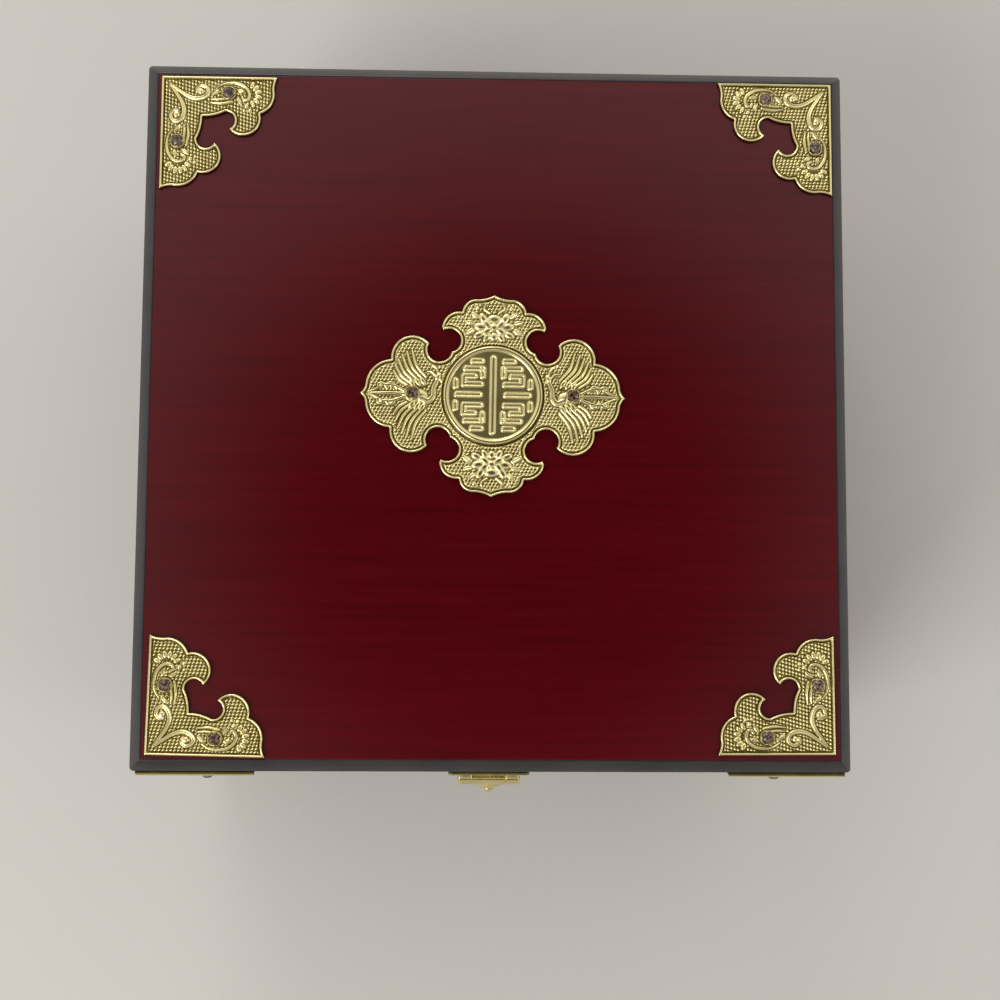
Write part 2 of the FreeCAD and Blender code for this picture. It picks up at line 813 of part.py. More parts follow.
def make_stone():
    """A round stone: a short cylinder up to its girdle and a crown that narrows to its table."""
    base = rod("stone_base", "stone_radius", "stone_girdle - corner_plate", ("0", "0", "corner_plate"))
    crown_height = "stone_height - stone_girdle"
    crown = cone("stone_crown", "stone_radius", "stone_table", crown_height, ("0", "0", "stone_girdle"))
    return fuse("stone", base, crown)


def make_ornaments():
    """Corner ornaments on the lid and on the front, the medallion, and all their stones."""
    stone = make_stone()
    corner, corner_stones = make_corner(stone)
    front_stones = place_face_corners(corner, corner_stones)
    lid_stones = place_lid_corners(corner, corner_stones) + front_stones
    keep(group("lid_stones", *lid_stones, place_medallion(stone)))


def make_corner(stone):
    """One corner ornament and its two stones, the outer corner at the origin."""
    leg = number("corner_leg")
    half = scaled(CORNER_HALF, leg, leg)
    start = (CORNER_START[0] * leg, CORNER_START[1] * leg)
    across_diagonal = reflected(start, half, lambda point: (point[1], point[0]))
    outline = doc.addObject("Sketcher::SketchObject", "corner_outline")
    draw_steps(outline, start, half + across_diagonal + [(None, (0.0, 0.0)), (None, start)])
    seats = [("stone_along", "stone_across"), ("stone_across", "stone_along")]
    corner = with_cups("corner_ornament", ornament_blank("corner", outline), seats)
    seated = [copy_of("seated_stone", stone, (*at, "0")) for at in seats]
    return corner, group("corner_stones", *seated)


def place_lid_corners(corner, corner_stones):
    """The four corners on the lid, each set in and turned as it was by hand."""
    stones = []
    for index, name in enumerate(CORNERS):
        sign_x = 1 if "right" in name else -1
        sign_y = 1 if "back" in name else -1
        place = (
            f"{sign_x} * (panel_x - {name}_in_x)",
            f"{sign_y} * (panel_y - {name}_in_y)",
            "lid_top",
        )
        rotation = Turn(V(0, 0, 1), 90 * index + number(f"{name}_turn"))
        keep(copy_of(f"lid_corner_{name}", corner, place, rotation))
        stones.append(copy_of(f"{name}_stones", corner_stones, place, rotation))
    return stones


def place_face_corners(corner, corner_stones):
    """The corners on the lid's front and on the drawer. The lid's stones are handed back."""
    corners, stones = {"upper": [], "lower": []}, {"upper": [], "lower": []}
    heights = {"upper": "edge_low - face_in_edge", "lower": "drawer_low + face_in_edge"}
    # with the plate's back to the face, its two legs point inwards and towards the middle height
    turns = {
        ("upper", -1): (V(0, 0, -1), V(1, 0, 0)),
        ("upper", 1): (V(-1, 0, 0), V(0, 0, -1)),
        ("lower", -1): (V(1, 0, 0), V(0, 0, 1)),
        ("lower", 1): (V(0, 0, 1), V(-1, 0, 0)),
    }
    for (level, hand), (along, upward) in turns.items():
        side = "left" if hand < 0 else "right"
        place = (f"{hand} * (half_width - face_in_side)", "-half_depth", heights[level])
        rotation = Turn(along, upward, V(0, -1, 0), "XYZ")
        corners[level].append(copy_of(f"{level}_{side}_corner", corner, place, rotation))
        stones[level].append(copy_of(f"{level}_{side}_stones", corner_stones, place, rotation))
    keep(group("front_corners", *corners["upper"]), group("drawer_corners", *corners["lower"]))
    keep(group("drawer_stones", *stones["lower"]))
    return stones["upper"]


def place_medallion(stone):
    """The medallion plate with the disc on its middle. Its two stones are handed back."""
    wide, deep = number("medallion_width") / 2, number("medallion_depth") / 2
    quarter = scaled(MEDALLION_QUARTER, wide, deep)
    tip = (MEDALLION_START[0] * wide, MEDALLION_START[1] * deep)
    half_turn = quarter + reflected(tip, quarter, lambda point: (-point[0], point[1]))
    other_half = scaled(half_turn, -1, -1)
    cartouche = doc.addObject("Sketcher::SketchObject", "medallion_outline")
    draw_steps(cartouche, tip, half_turn + other_half)
    seats = [(f"{hand} * medallion_stone_x", "medallion_stone_y") for hand in (-1, 1)]
    medallion = with_cups("medallion_sheet", ornament_blank("cartouche", cartouche), seats)
    place = ("medallion_x", "medallion_y", "lid_top")
    rotation = Turn(V(0, 0, 1), number("medallion_turn"))
    keep(copy_of("medallion_plate", medallion, place, rotation))
    seated = group("seated_pair", *(copy_of("medallion_stone", stone, (*at, "0")) for at in seats))

    disc = rod("disc_blank", "disc_radius", "disc_thick", ("0", "0", "corner_plate"))
    field_at = ("0", "0", "corner_plate + disc_thick - disc_sink")
    field = rod("disc_field", "disc_radius - disc_rim", "disc_sink", field_at)
    keep(copy_of("medallion_disc", cut("disc", disc, field), place, rotation))
    return copy_of("medallion_stones", seated, place, rotation)


def nail_profile(clearance="0"):
    """Corners of a round-headed nail, its head standing on the plate at height 0."""
    shank = f"nail_radius + {clearance}"
    end = f"-(nail_length + {clearance})"
    head, rise = "nail_head_radius", "nail_head_height"
    return [
        ("0", end),
        (shank, end),
        (shank, "0"),
        (head, "0"),
        (f"0.8 * {head}", f"0.7 * {rise}"),
        (f"0.4 * {head}", rise),
        ("0", rise),
    ]


def nails(label, seats, clearance="0"):
    """Nails through a plate on the front face, at (x, z) places."""
    towards_front = Turn(V(0, 0, 1), V(0, -1, 0))
    at_face = "-half_depth - plate_thick"
    profile = nail_profile(clearance)
    return group(
        label,
        *(
            turned(f"{label}_{index}", profile, (x, at_face, z), towards_front)
            for index, (x, z) in enumerate(seats)
        ),
    )


def clasp_nail_seats():
    top = "edge_low - clasp_drop"
    wide, narrow = "0.40 * clasp_width", "0.29 * clasp_width"
    return [
        (f"clasp_x + {hand} * {reach}", f"{top} - {share} * clasp_height")
        for hand in (-1, 1)
        for reach, share in ((wide, 0.38), (narrow, 0.60))
    ]


def catch_nail_seats():
    reach, drop = "0.38 * catch_width", "0.30 * catch_height"
    return [(f"clasp_x + {hand} * {reach}", f"catch_top - {drop}") for hand in (-1, 1)]


def make_clasp_plate(holes):
    """The plate on the lid, with a pin through its two knuckles and four nails."""
    place = ("clasp_x", "-half_depth", "edge_low - clasp_drop")
    sheet = plate("clasp_sheet", "clasp_width", "clasp_height", CLASP_HALF, place, "plate_thick")
    inner = "hasp_width / 2 + hasp_side_gap"
    outer = f"{inner} + hasp_knuckle"
    knuckles = []
    for side, hand in LEFT_AND_RIGHT.items():
        start, end = on_side(hand, inner, outer)
        x = (f"clasp_x + {start}", f"clasp_x + {end}")
        at = (x[0], "hasp_y", "hasp_z")
        knuckles.append(rod(f"clasp_knuckle_{side}", "hasp_barrel_radius", "hasp_knuckle", at, "x"))
        web_y = ("-half_depth - hasp_proud", "-half_depth")
        web_z = across("hasp_barrel_radius", "hasp_z")
        knuckles.append(block(f"clasp_web_{side}", x, web_y, web_z))
    full = f"2 * ({outer})"
    bore_start = (f"clasp_x - ({outer})", "hasp_y", "hasp_z")
    bore = rod("clasp_bore", "hasp_bore", full, bore_start, "x")
    keep(cut("clasp_plate", fuse("clasp_solid", sheet, *knuckles), bore, holes))
    keep(nails("clasp_nails", clasp_nail_seats()))
    pin = rod("clasp_pin_shank", "hasp_pin_radius", full, bore_start, "x")
    heads = []
    for end, x in enumerate((f"clasp_x - ({outer}) - hasp_head_length", f"clasp_x + ({outer})")):
        at = (x, "hasp_y", "hasp_z")
        heads.append(rod(f"clasp_pin_head_{end}", "hasp_head_radius", "hasp_head_length", at, "x"))
    keep(fuse("clasp_pin", pin, *heads))


def make_tongue():
    """The tongue hangs from the pin, with a four-sided boss and a ball to lift it by."""
    wide = across("hasp_width / 2", "clasp_x")
    depth = ("-half_depth - hasp_front", "-half_depth - hasp_back")
    bar = block("tongue_bar", wide, depth, ("hasp_shoulder", "hasp_z"))
    narrow = across("neck_width / 2", "clasp_x")
    neck = block("tongue_neck", narrow, depth, ("hasp_shoulder - neck_length", "hasp_shoulder"))
    end_at = ("clasp_x", depth[0], "hasp_shoulder - neck_length")
    end = rod("tongue_end", "neck_width / 2", "hasp_thick", end_at, "y")
    pin_end = (wide[0], "hasp_y", "hasp_z")
    knuckle = rod("tongue_knuckle", "hasp_barrel_radius", "hasp_width", pin_end, "x")
    knob_z = "hasp_z - boss_top - boss_length / 2"
    boss = wedge(
        "tongue_boss",
        ("-half_depth - boss_proud", depth[0]),
        (across("boss_tip / 2", "clasp_x"), across("boss_tip / 2", knob_z)),
        (wide, across("boss_length / 2", knob_z)),
    )
    knob = ball("tongue_knob", "knob_radius", ("clasp_x", "-half_depth - knob_proud", knob_z))
    solid = fuse("tongue_solid", bar, neck, end, knuckle, boss, knob)
    bore = rod("tongue_bore", "hasp_bore", "hasp_width", pin_end, "x")
    keep(cut("hasp_tongue", solid, bore))


def make_catch(holes):
    """The catch plate on the front rail: two cheeks pinch the tongue's neck between them."""
    place = ("clasp_x", "-half_depth", "catch_top")
    sheet = plate("catch_sheet", "catch_width", "catch_height", CATCH_HALF, place, "plate_thick")
    cheek_z = ("catch_top - cheek_drop - cheek_height", "catch_top - cheek_drop")
    cheek_y = ("-half_depth - cheek_proud", "-half_depth")
    cheeks = []
    for side, hand in LEFT_AND_RIGHT.items():
        x = on_side(hand, "cheek_x", "cheek_x + cheek_thick", "clasp_x")
        cheeks.append(block(f"cheek_{side}", x, cheek_y, cheek_z))
    keep(cut("catch_plate", fuse("catch_solid", sheet, *cheeks), holes))
    keep(nails("catch_nails", catch_nail_seats()))


def make_runners():
    runner_y = ("runner_setback - inside_y", "inside_y")
    runner_z = ("runner_low", "runner_low + runner_height")
    for side, hand in LEFT_AND_RIGHT.items():
        x = on_side(hand, "runner_x", "inside_x")
        keep(block(f"drawer_runner_{side}", x, runner_y, runner_z))
    stop_y = ("stop_back - stop_depth", "stop_back")
    keep(block("drawer_stop", across("stop_width / 2"), stop_y, ("stop_low", "rail_low")))


def make_drawer():
    groove_z = ("drawer_bottom_low - groove_play", "drawer_bottom_top + groove_play")
    groove_x = "drawer_x - drawer_side + groove_depth"
    groove_y = ("-inside_y - groove_depth", "drawer_end + 1")
    groove = block("bottom_groove", across(groove_x), groove_y, groove_z)
    side_y = ("-inside_y", "drawer_end")
    side_z = ("drawer_box_low", "drawer_box_high")
    slot_y = ("runner_setback - inside_y - runner_play", "drawer_end + 1")
    slot_z = ("runner_low - runner_play", "runner_low + runner_height + runner_play")
    for side, hand in LEFT_AND_RIGHT.items():
        board_x = on_side(hand, "drawer_x - drawer_side", "drawer_x")
        board = block(f"{side}_side_board", board_x, side_y, side_z)
        slot_x = on_side(hand, "runner_x - runner_play", "inside_x")
        slot = block(f"{side}_runner_slot", slot_x, slot_y, slot_z)
        keep(cut(f"drawer_side_{side}", board, slot, groove))

    inner_x = "drawer_x - drawer_side"
    back_z = ("drawer_bottom_top", "stop_low + stop_lap")
    keep(block("drawer_back", across(inner_x), ("drawer_back_y", "drawer_end"), back_z))
    bottom_x = f"{groove_x} - groove_play"
    bottom_y = ("groove_play - inside_y - groove_depth", "drawer_end")
    keep(block("drawer_bottom", across(bottom_x), bottom_y, ("drawer_bottom_low", "drawer_bottom_top")))
    card_y = ("-inside_y", "drawer_back_y")
    keep(block("drawer_floor_card", across(inner_x), card_y, ("drawer_bottom_top", "drawer_floor")))
    divider_x = ("drawer_divider_x", "drawer_divider_x + divider_thick")
    divider_z = ("drawer_floor", "drawer_floor + drawer_divider_height")
    keep(block("drawer_divider", divider_x, card_y, divider_z))

    front_y = ("-half_depth", "-inside_y")
    front = block("front_board", across("half_width"), front_y, ("drawer_low", "drawer_high"))
    holes = bolt_holes("front_bolt_hole", "-half_depth - 1", "wall + 2")
    keep(cut("drawer_front", common("front_trimmed", front, envelope), groove, *holes))


def bolt_x(hand):
    return f"{hand} * bolt_spacing / 2"


def bolt_holes(label, start, length):
    """A hole for each eye bolt's shank, from a place on towards the back."""
    radius = "bolt_radius + bolt_clearance"
    return [
        rod(f"{label}_{side}", radius, length, (bolt_x(hand), start, "pull_z"), "y")
        for side, hand in LEFT_AND_RIGHT.items()
    ]


def make_pull():
    """A pull plate, two eye bolts held by nuts, and a bail that swings in the eyes."""
    place = ("0", "-half_depth", "pull_z + pull_plate_rise")
    sheet = plate("pull_sheet", "pull_plate_width", "pull_plate_height", PULL_HALF, place, "plate_thick")
    plate_holes = bolt_holes("plate_bolt_hole", "-half_depth - plate_thick - 1", "plate_thick + 2")
    keep(cut("pull_plate", sheet, *plate_holes))

    shank_length = "-inside_y + nut_thick + bolt_end - pull_y"
    flange_y = "-half_depth - plate_thick - bolt_flange_thick"
    bore_radius, bore_length = "bail_radius + bail_clearance", "2 * bolt_ball_radius"
    threads = bolt_holes("nut_bore", "-inside_y - 1", "nut_thick + 2")
    bolts, nuts = [], []
    for (side, hand), thread in zip(LEFT_AND_RIGHT.items(), threads):
        x = bolt_x(hand)
        centre, flange_at = (x, "pull_y", "pull_z"), (x, flange_y, "pull_z")
        shank = rod(f"bolt_shank_{side}", "bolt_radius", shank_length, centre, "y")
        flange = rod(f"bolt_flange_{side}", "bolt_flange_radius", "bolt_flange_thick", flange_at, "y")
        eye = ball(f"bolt_eye_{side}", "bolt_ball_radius", centre)
        bore_at = (f"{x} - bolt_ball_radius", "pull_y", "pull_z")
        bore = rod(f"bolt_bore_{side}", bore_radius, bore_length, bore_at, "x")
        bolts.append(cut(f"bolt_{side}", fuse(f"bolt_solid_{side}", shank, flange, eye), bore))
        prism = doc.addObject("Part::Prism", f"nut_blank_{side}")
        prism.Polygon = 6
        prism.setExpression("Circumradius", bound("nut_radius"))
        prism.setExpression("Height", bound("nut_thick"))
        seat(prism, (x, "-inside_y", "pull_z"), Turn(V(0, 0, 1), V(0, 1, 0)))
        nuts.append(cut(f"nut_{side}", prism, thread))
    keep(group("pull_bolts", *bolts), group("pull_nuts", *nuts), make_bail())


def make_bail():
    """A bent wire with inturned ends and a thicker grip, on the line through both eyes."""
    wire, pieces = "bail_radius", []
    reach = "bail_width / 2"

    def bend(label, hand, up, radius, height):
        """A quarter turn of the wire, at the top or the bottom of an arm."""
        arc = doc.addObject("Part::Torus", label)
        arc.setExpression("Radius1", bound(radius))
        arc.setExpression("Radius2", bound(wire))
        arc.Angle3 = 90
        rotation = Turn(V(hand, 0, 0), V(0, 0, up), V(0, -hand * up, 0), "XYZ")
        return seat(arc, (f"{hand} * ({reach} - {radius})", "pull_y", height), rotation)

    for side, hand in LEFT_AND_RIGHT.items():
        inner, outer = on_side(hand, "bolt_spacing / 2 - bail_end", f"{reach} - bail_bend")
        end = (inner, "pull_y", "pull_z")
        pieces.append(rod(f"bail_end_{side}", wire, f"({outer}) - ({inner})", end, "x"))
        pieces.append(bend(f"bail_bend_{side}", hand, 1, "bail_bend", "pull_z - bail_bend"))
        foot = (f"{hand} * {reach}", "pull_y", "pull_z - bail_drop + bail_sweep")
        length = "bail_drop - bail_sweep - bail_bend"
        pieces.append(rod(f"bail_arm_{side}", wire, length, foot))
        pieces.append(bend(f"bail_sweep_{side}", hand, -1, "bail_sweep", foot[2]))
    low = "pull_z - bail_drop"
    straight = f"2 * ({reach} - bail_sweep)"
    pieces.append(rod("bail_bar", wire, straight, (f"bail_sweep - {reach}", "pull_y", low), "x"))
    half = "grip_length / 2"
    profile = [
        ("0", f"-({half})"),
        (wire, f"-({half})"),
        ("grip_radius", "-grip_length / 5"),
        ("grip_radius", "grip_length / 5"),
        (wire, half),
        ("0", half),
    ]
    pieces.append(turned("bail_grip", profile, ("0", "pull_y", low), Turn(V(0, 0, 1), V(1, 0, 0))))
    return fuse("drawer_bail", *pieces)


screw = screw_form("hinge_screw")
screw_hole = screw_form("hinge_screw_hole", "screw_clearance")
lid_holes = hinge_screws("lid_screw_holes", screw_hole, True)
case_holes = hinge_screws("case_screw_holes", screw_hole, False)
clasp_holes = nails("clasp_nail_holes", clasp_nail_seats(), "nail_clearance")
catch_holes = nails("catch_nail_holes", catch_nail_seats(), "nail_clearance")

make_plinth()
make_case(case_holes, catch_holes)
make_lining()
make_dividers()
make_ring_rolls()
make_runners()
make_lid(lid_holes, clasp_holes)
make_mirror()
make_hinges(
    lid_holes,
    case_holes,
    hinge_screws("hinge_lid_screws", screw, True),
    hinge_screws("hinge_case_screws", screw, False),
)
make_ornaments()
make_clasp_plate(clasp_holes)
make_tongue()
make_catch(catch_holes)
make_drawer()
make_pull()
doc.recompute()

for item in doc.Objects:
    if "Invalid" in item.State or "Error" in item.State:
        raise RuntimeError(f"{item.Label} failed: {item.State}")
for item in nodes:
    if item.Shape.isNull() or not item.Shape.isValid() or not item.Shape.Solids:
        raise RuntimeError(f"{item.Label} has no valid solid")

os.makedirs("parts", exist_ok=True)
for item in nodes:
    solids = item.Shape.Solids
    shape = solids[0] if len(solids) == 1 else Part.makeCompound(solids)
    shape.exportStep(f"parts/{item.Label}.step")
print(len(nodes), "sub-parts")
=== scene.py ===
# %% [markdown]
# # A wooden jewelry box, dressed in Blender
# The solids of the box come from its CAD model. They are a fixed frame: nothing here moves them.
# This lesson gives each board, ornament and lining the finish and the fine shape of the real one.
# Lengths are in metres, except in the ornaments, which are drawn in millimetres and then scaled.

import json
import math

import bmesh
import bpy
import numpy as np
from mathutils import Matrix, Vector


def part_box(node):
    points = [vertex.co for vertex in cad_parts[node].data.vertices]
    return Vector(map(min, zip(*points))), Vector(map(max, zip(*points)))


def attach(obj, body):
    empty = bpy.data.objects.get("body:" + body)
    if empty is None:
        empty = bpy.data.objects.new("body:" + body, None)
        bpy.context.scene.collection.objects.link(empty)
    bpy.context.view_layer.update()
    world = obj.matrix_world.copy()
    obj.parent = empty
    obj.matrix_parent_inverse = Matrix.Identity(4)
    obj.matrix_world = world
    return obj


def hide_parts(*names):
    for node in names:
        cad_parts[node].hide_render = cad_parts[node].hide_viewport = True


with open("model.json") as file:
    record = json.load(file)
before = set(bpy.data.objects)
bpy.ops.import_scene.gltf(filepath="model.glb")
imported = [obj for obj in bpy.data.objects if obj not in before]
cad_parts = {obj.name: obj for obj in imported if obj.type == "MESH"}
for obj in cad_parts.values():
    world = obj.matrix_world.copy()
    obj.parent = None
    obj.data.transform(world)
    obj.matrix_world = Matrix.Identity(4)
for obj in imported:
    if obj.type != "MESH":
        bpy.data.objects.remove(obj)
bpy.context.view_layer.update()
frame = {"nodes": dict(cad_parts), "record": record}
cad = frame["nodes"]
MM = 0.001

# %% [markdown]
# ## The camera
# The photograph looks straight down on the lid from a little in front of it, so that a sliver of
# the front shows. The camera's place and turn were worked out from the lid's four corners in the
# picture. The rows of the turn are the picture's right, its up, and back towards the viewer.

# %% Camera
camera_data = bpy.data.cameras.new("camera")
camera_data.lens = 47.05
camera_data.sensor_width = 36
camera_data.clip_end = 20
camera = bpy.data.objects.new("camera", camera_data)
bpy.context.scene.collection.objects.link(camera)
RIGHT = (0.99961, 0.00588, 0.02727)
UP = (-0.00807, 0.9967, 0.08076)
BACK = (-0.02671, -0.08095, 0.99636)
turn = Matrix((RIGHT, UP, BACK)).transposed().to_4x4()
camera.matrix_world = Matrix.Translation(Vector((-10.25, -67.75, 604.65)) * MM) @ turn
bpy.context.scene.camera = camera
print("camera at", tuple(round(x, 4) for x in camera.location))

# %% [markdown]
# ## Finishes
# A finish is a material whose nodes work out colour, roughness and small bumps from the place on
# the object, so it needs no picture. A few helpers keep each finish short: one makes the
# material, one adds a node and sets its sockets, and one maps a number between two colours.


# %% Helpers for the finishes
class Finish:
    """A material, and short ways to add nodes to it."""

    def __init__(self, name):
        self.material = bpy.data.materials.new(name)
        self.material.use_nodes = True
        self.tree = self.material.node_tree
        self.shader = self.tree.nodes["Principled BSDF"]
        self.place = self.node("ShaderNodeTexCoord").outputs["Object"]

    def node(self, kind, **sockets):
        made = self.tree.nodes.new(kind)
        for name, value in sockets.items():
            self.join(value, made.inputs[name.replace("_", " ")])
        return made

    def join(self, value, socket):
        """A plain value is set on the socket, and another node's output is linked to it."""
        if isinstance(value, bpy.types.NodeSocket):
            self.tree.links.new(value, socket)
        else:
            socket.default_value = value

    def stretched(self, scale, turned=(0, 0, 0)):
        """The place on the object, times a scale for each axis, so a pattern is drawn out."""
        return self.node("ShaderNodeMapping", Vector=self.place, Scale=scale, Rotation=turned).outputs[0]

    def noise(self, where, scale, detail=3.0, roughness=0.5):
        made = self.node("ShaderNodeTexNoise", Vector=where, Scale=scale, Detail=detail, Roughness=roughness)
        return made.outputs["Fac"]

    def between(self, value, low, high, low_at=0.0, high_at=1.0):
        """A colour or number that goes from low to high as value goes from low_at to high_at."""
        ramp = self.node("ShaderNodeMapRange", Value=value)
        ramp.inputs["From Min"].default_value = low_at
        ramp.inputs["From Max"].default_value = high_at
        if not isinstance(low, tuple):
            self.join(low, ramp.inputs["To Min"])
            self.join(high, ramp.inputs["To Max"])
            return ramp.outputs[0]
        return self.mixed(ramp.outputs[0], low, high)

    def mixed(self, share, first, second, way="MIX"):
        mix = self.tree.nodes.new("ShaderNodeMix")
        mix.data_type = "RGBA"
        mix.blend_type = way
        self.join(share, mix.inputs["Factor"])
        for socket, colour in ((mix.inputs["A"], first), (mix.inputs["B"], second)):
            if isinstance(colour, tuple):
                socket.default_value = (*colour, 1.0)
            else:
                self.tree.links.new(colour, socket)
        return mix.outputs["Result"]

    def sum_of(self, first, second, way="ADD"):
        made = self.tree.nodes.new("ShaderNodeMath")
        made.operation = way
        self.join(first, made.inputs[0])
        self.join(second, made.inputs[1])
        return made.outputs[0]

    def bumps(self, height, depth, under=None):
        """Small bumps: height times depth, in metres, laid over the bumps under them."""
        made = self.node("ShaderNodeBump", Height=height, Distance=depth, Strength=1.0)
        if under is not None:
            self.tree.links.new(under, made.inputs["Normal"])
        return made.outputs[0]

    def dress(self, **sockets):
        for name, value in sockets.items():
            socket = self.shader.inputs[name.replace("_", " ")]
            if isinstance(value, tuple) and len(value) == 3:
                value = (*value, 1.0)
            self.join(value, socket)
        return self.material


def put_on(finish, *names):
    """Gives CAD nodes a finish on every material slot."""
    for name in names:
        for place in cad[name].material_slots:
            place.material = finish


print("helpers ready")

# %% [markdown]
# ## Stained wood
# The lid and the walls are wood with a deep red stain under satin lacquer. Seen close, the fine
# grain runs along each board as thin darker streaks, with broad soft bands of lighter and darker
# stain. Noise that is drawn out along one axis gives both. The lacquer is a thin clear coat.
# Each board needs the grain along its own length, so the finish is made once for each axis.


# %% Red stained wood
def along_grain(axis, along, across):
    """A scale for each axis: small along the grain, large across it."""
    return tuple(along if index == "xyz".index(axis) else across for index in range(3))


def stained_wood(name, axis, dark, light, coat):
    finish = Finish(name)
    bands = finish.noise(finish.stretched(along_grain(axis, 3.0, 11)), 1.0, 4.0, 0.55)
    streaks = finish.noise(finish.stretched(along_grain(axis, 15, 420)), 1.0, 5.0, 0.62)
    pores = finish.noise(finish.stretched(along_grain(axis, 90, 2400)), 1.0, 2.0)
    stain = finish.between(bands, dark, light, 0.3, 0.72)
    veil = finish.between(streaks, (0.8, 0.6, 0.7), (1.1, 1.1, 1.1), 0.3, 0.66)
    colour = finish.mixed(1.0, stain, veil, "MULTIPLY")
    pits = finish.between(pores, 0.0, 1.0, 0.3, 0.42)
    colour = finish.mixed(finish.between(pits, 0.22, 0.0), colour, (0.012, 0.001, 0.001))
    rough = finish.between(streaks, 0.34, 0.44)
    return finish.dress(
        Base_Color=colour,
        Roughness=rough,
        Normal=finish.bumps(pits, 0.000012, finish.bumps(streaks, 0.00003)),
        Specular_IOR_Level=0.03,
        Coat_Weight=coat,
        Coat_Roughness=0.12,
    )


RED_DARK, RED_LIGHT = (0.052, 0.0003, 0.0018), (0.080, 0.0008, 0.0036)
red_wood = {axis: stained_wood(f"red_wood_{axis}", axis, RED_DARK, RED_LIGHT, 0.66) for axis in "xyz"}
GRAIN = {
    "x": ["lid_top_panel", "lid_skirt_front", "lid_skirt_back", "back_panel", "front_rail", "drawer_front"],
    "y": ["lid_skirt_left", "lid_skirt_right", "side_left", "side_right"],
}
for axis, names in GRAIN.items():
    put_on(red_wood[axis], *names)
print("red wood on", sum(len(names) for names in GRAIN.values()), "boards")

# %% [markdown]
# ## Black lacquer
# The lid's bevelled edge and the plinth are lacquered black. Black lacquer is never one flat
# black: it carries faint brush waves, dust, and soft clouds of a slightly lighter black.


# %% Black lacquer
def black_lacquer():
    finish = Finish("black_lacquer")
    cloud = finish.noise(finish.place, 60, 4.0)
    dust = finish.noise(finish.place, 2400, 2.0)
    colour = finish.between(cloud, (0.010, 0.009, 0.010), (0.020, 0.018, 0.019), 0.35, 0.7)
    wave = finish.noise(finish.place, 420, 3.0)
    return finish.dress(
        Base_Color=colour,
        Roughness=finish.between(dust, 0.24, 0.4, 0.35, 0.7),
        Normal=finish.bumps(wave, 0.00004),
        Specular_IOR_Level=0.35,
        Coat_Weight=0.4,
        Coat_Roughness=0.16,
    )


lacquer = black_lacquer()
print("black lacquer ready")

# %% [markdown]
# ## Light
# Glossy things are lit with large soft lamps in a pale room, which they mirror softly. The room
# here is the world: pale behind the box, less so in front, and dim in a round patch near straight
# overhead, so that the middle of the lid keeps its deep colour and the lacquer pales towards the
# back and the corners. A large softbox at the front left gives the shadow, and two others fill.
# The level is plain, so that a colour on the box renders about as it is written.

# %% Light
bpy.context.scene.view_settings.view_transform = "Standard"
world = bpy.data.worlds.new("studio")
bpy.context.scene.world = world
world.use_nodes = True
room = world.node_tree
background = room.nodes["Background"]
background.inputs["Color"].default_value = (0.93, 0.91, 0.88, 1)
way = room.nodes.new("ShaderNodeTexCoord").outputs["Generated"]
from_spot = room.nodes.new("ShaderNodeMapping")
from_spot.inputs["Location"].default_value = (-0.03, -0.06, 0)
from_spot.inputs["Scale"].default_value = (1, 1, 0)
room.links.new(way, from_spot.inputs["Vector"])
far_off = room.nodes.new("ShaderNodeVectorMath")
far_off.operation = "LENGTH"
room.links.new(from_spot.outputs[0], far_off.inputs[0])
backwards = room.nodes.new("ShaderNodeSeparateXYZ")
room.links.new(way, backwards.inputs[0])
overhead, behind = (room.nodes.new("ShaderNodeMapRange") for _ in range(2))
room.links.new(far_off.outputs["Value"], overhead.inputs["Value"])
room.links.new(backwards.outputs["Y"], behind.inputs["Value"])
for ramp, ends in ((overhead, (0.14, 0.36, 0.0, 0.88)), (behind, (-0.5, 0.5, 0.62, 1.1))):
    ramp.interpolation_type = "SMOOTHSTEP"
    for socket, value in zip(("From Min", "From Max", "To Min", "To Max"), ends):
        ramp.inputs[socket].default_value = value
both = room.nodes.new("ShaderNodeMath")
both.operation = "MULTIPLY"
room.links.new(overhead.outputs[0], both.inputs[0])
room.links.new(behind.outputs[0], both.inputs[1])
room.links.new(both.outputs[0], background.inputs["Strength"])


def softbox(name, place, size, power):
    """A square lamp that points at the box."""
    data = bpy.data.lights.new(name, "AREA")
    data.size = size
    data.energy = power
    lamp = bpy.data.objects.new(name, data)
    bpy.context.scene.collection.objects.link(lamp)
    lamp.location = place
    lamp.rotation_mode = "QUATERNION"
    lamp.rotation_quaternion = (Vector((0, 0, 0.1)) - Vector(place)).to_track_quat("-Z", "Y")


softbox("front_left_softbox", (-1.0, -0.8, 1.2), 0.8, 15)
softbox("back_softbox", (-0.35, 1.3, 1.2), 0.7, 6)
softbox("right_softbox", (1.35, -0.5, 1.0), 0.6, 3)
print("softboxes: 3")

# %% [markdown]
# ## Floor
# A thing looks as if it floats until its shadow falls on something. One large flat mesh with a
# faint weave does that.

# %% Floor
cloth = Finish("floor")
threads = cloth.noise(cloth.place, 900, 2.0)
cloth.dress(
    Base_Color=cloth.between(cloth.noise(cloth.place, 3.0), (0.50, 0.48, 0.45), (0.56, 0.54, 0.51)),
    Roughness=0.9,
    Normal=cloth.bumps(threads, 0.0001),
)
floor = bpy.data.meshes.new("floor")
floor.from_pydata([(-4, -4, 0), (4, -4, 0), (4, 4, 0), (-4, 4, 0)], [], [(0, 1, 2, 3)])
floor.materials.append(cloth.material)
floor = bpy.data.objects.new("floor", floor)
bpy.context.scene.collection.objects.link(floor)
print("floor ready")
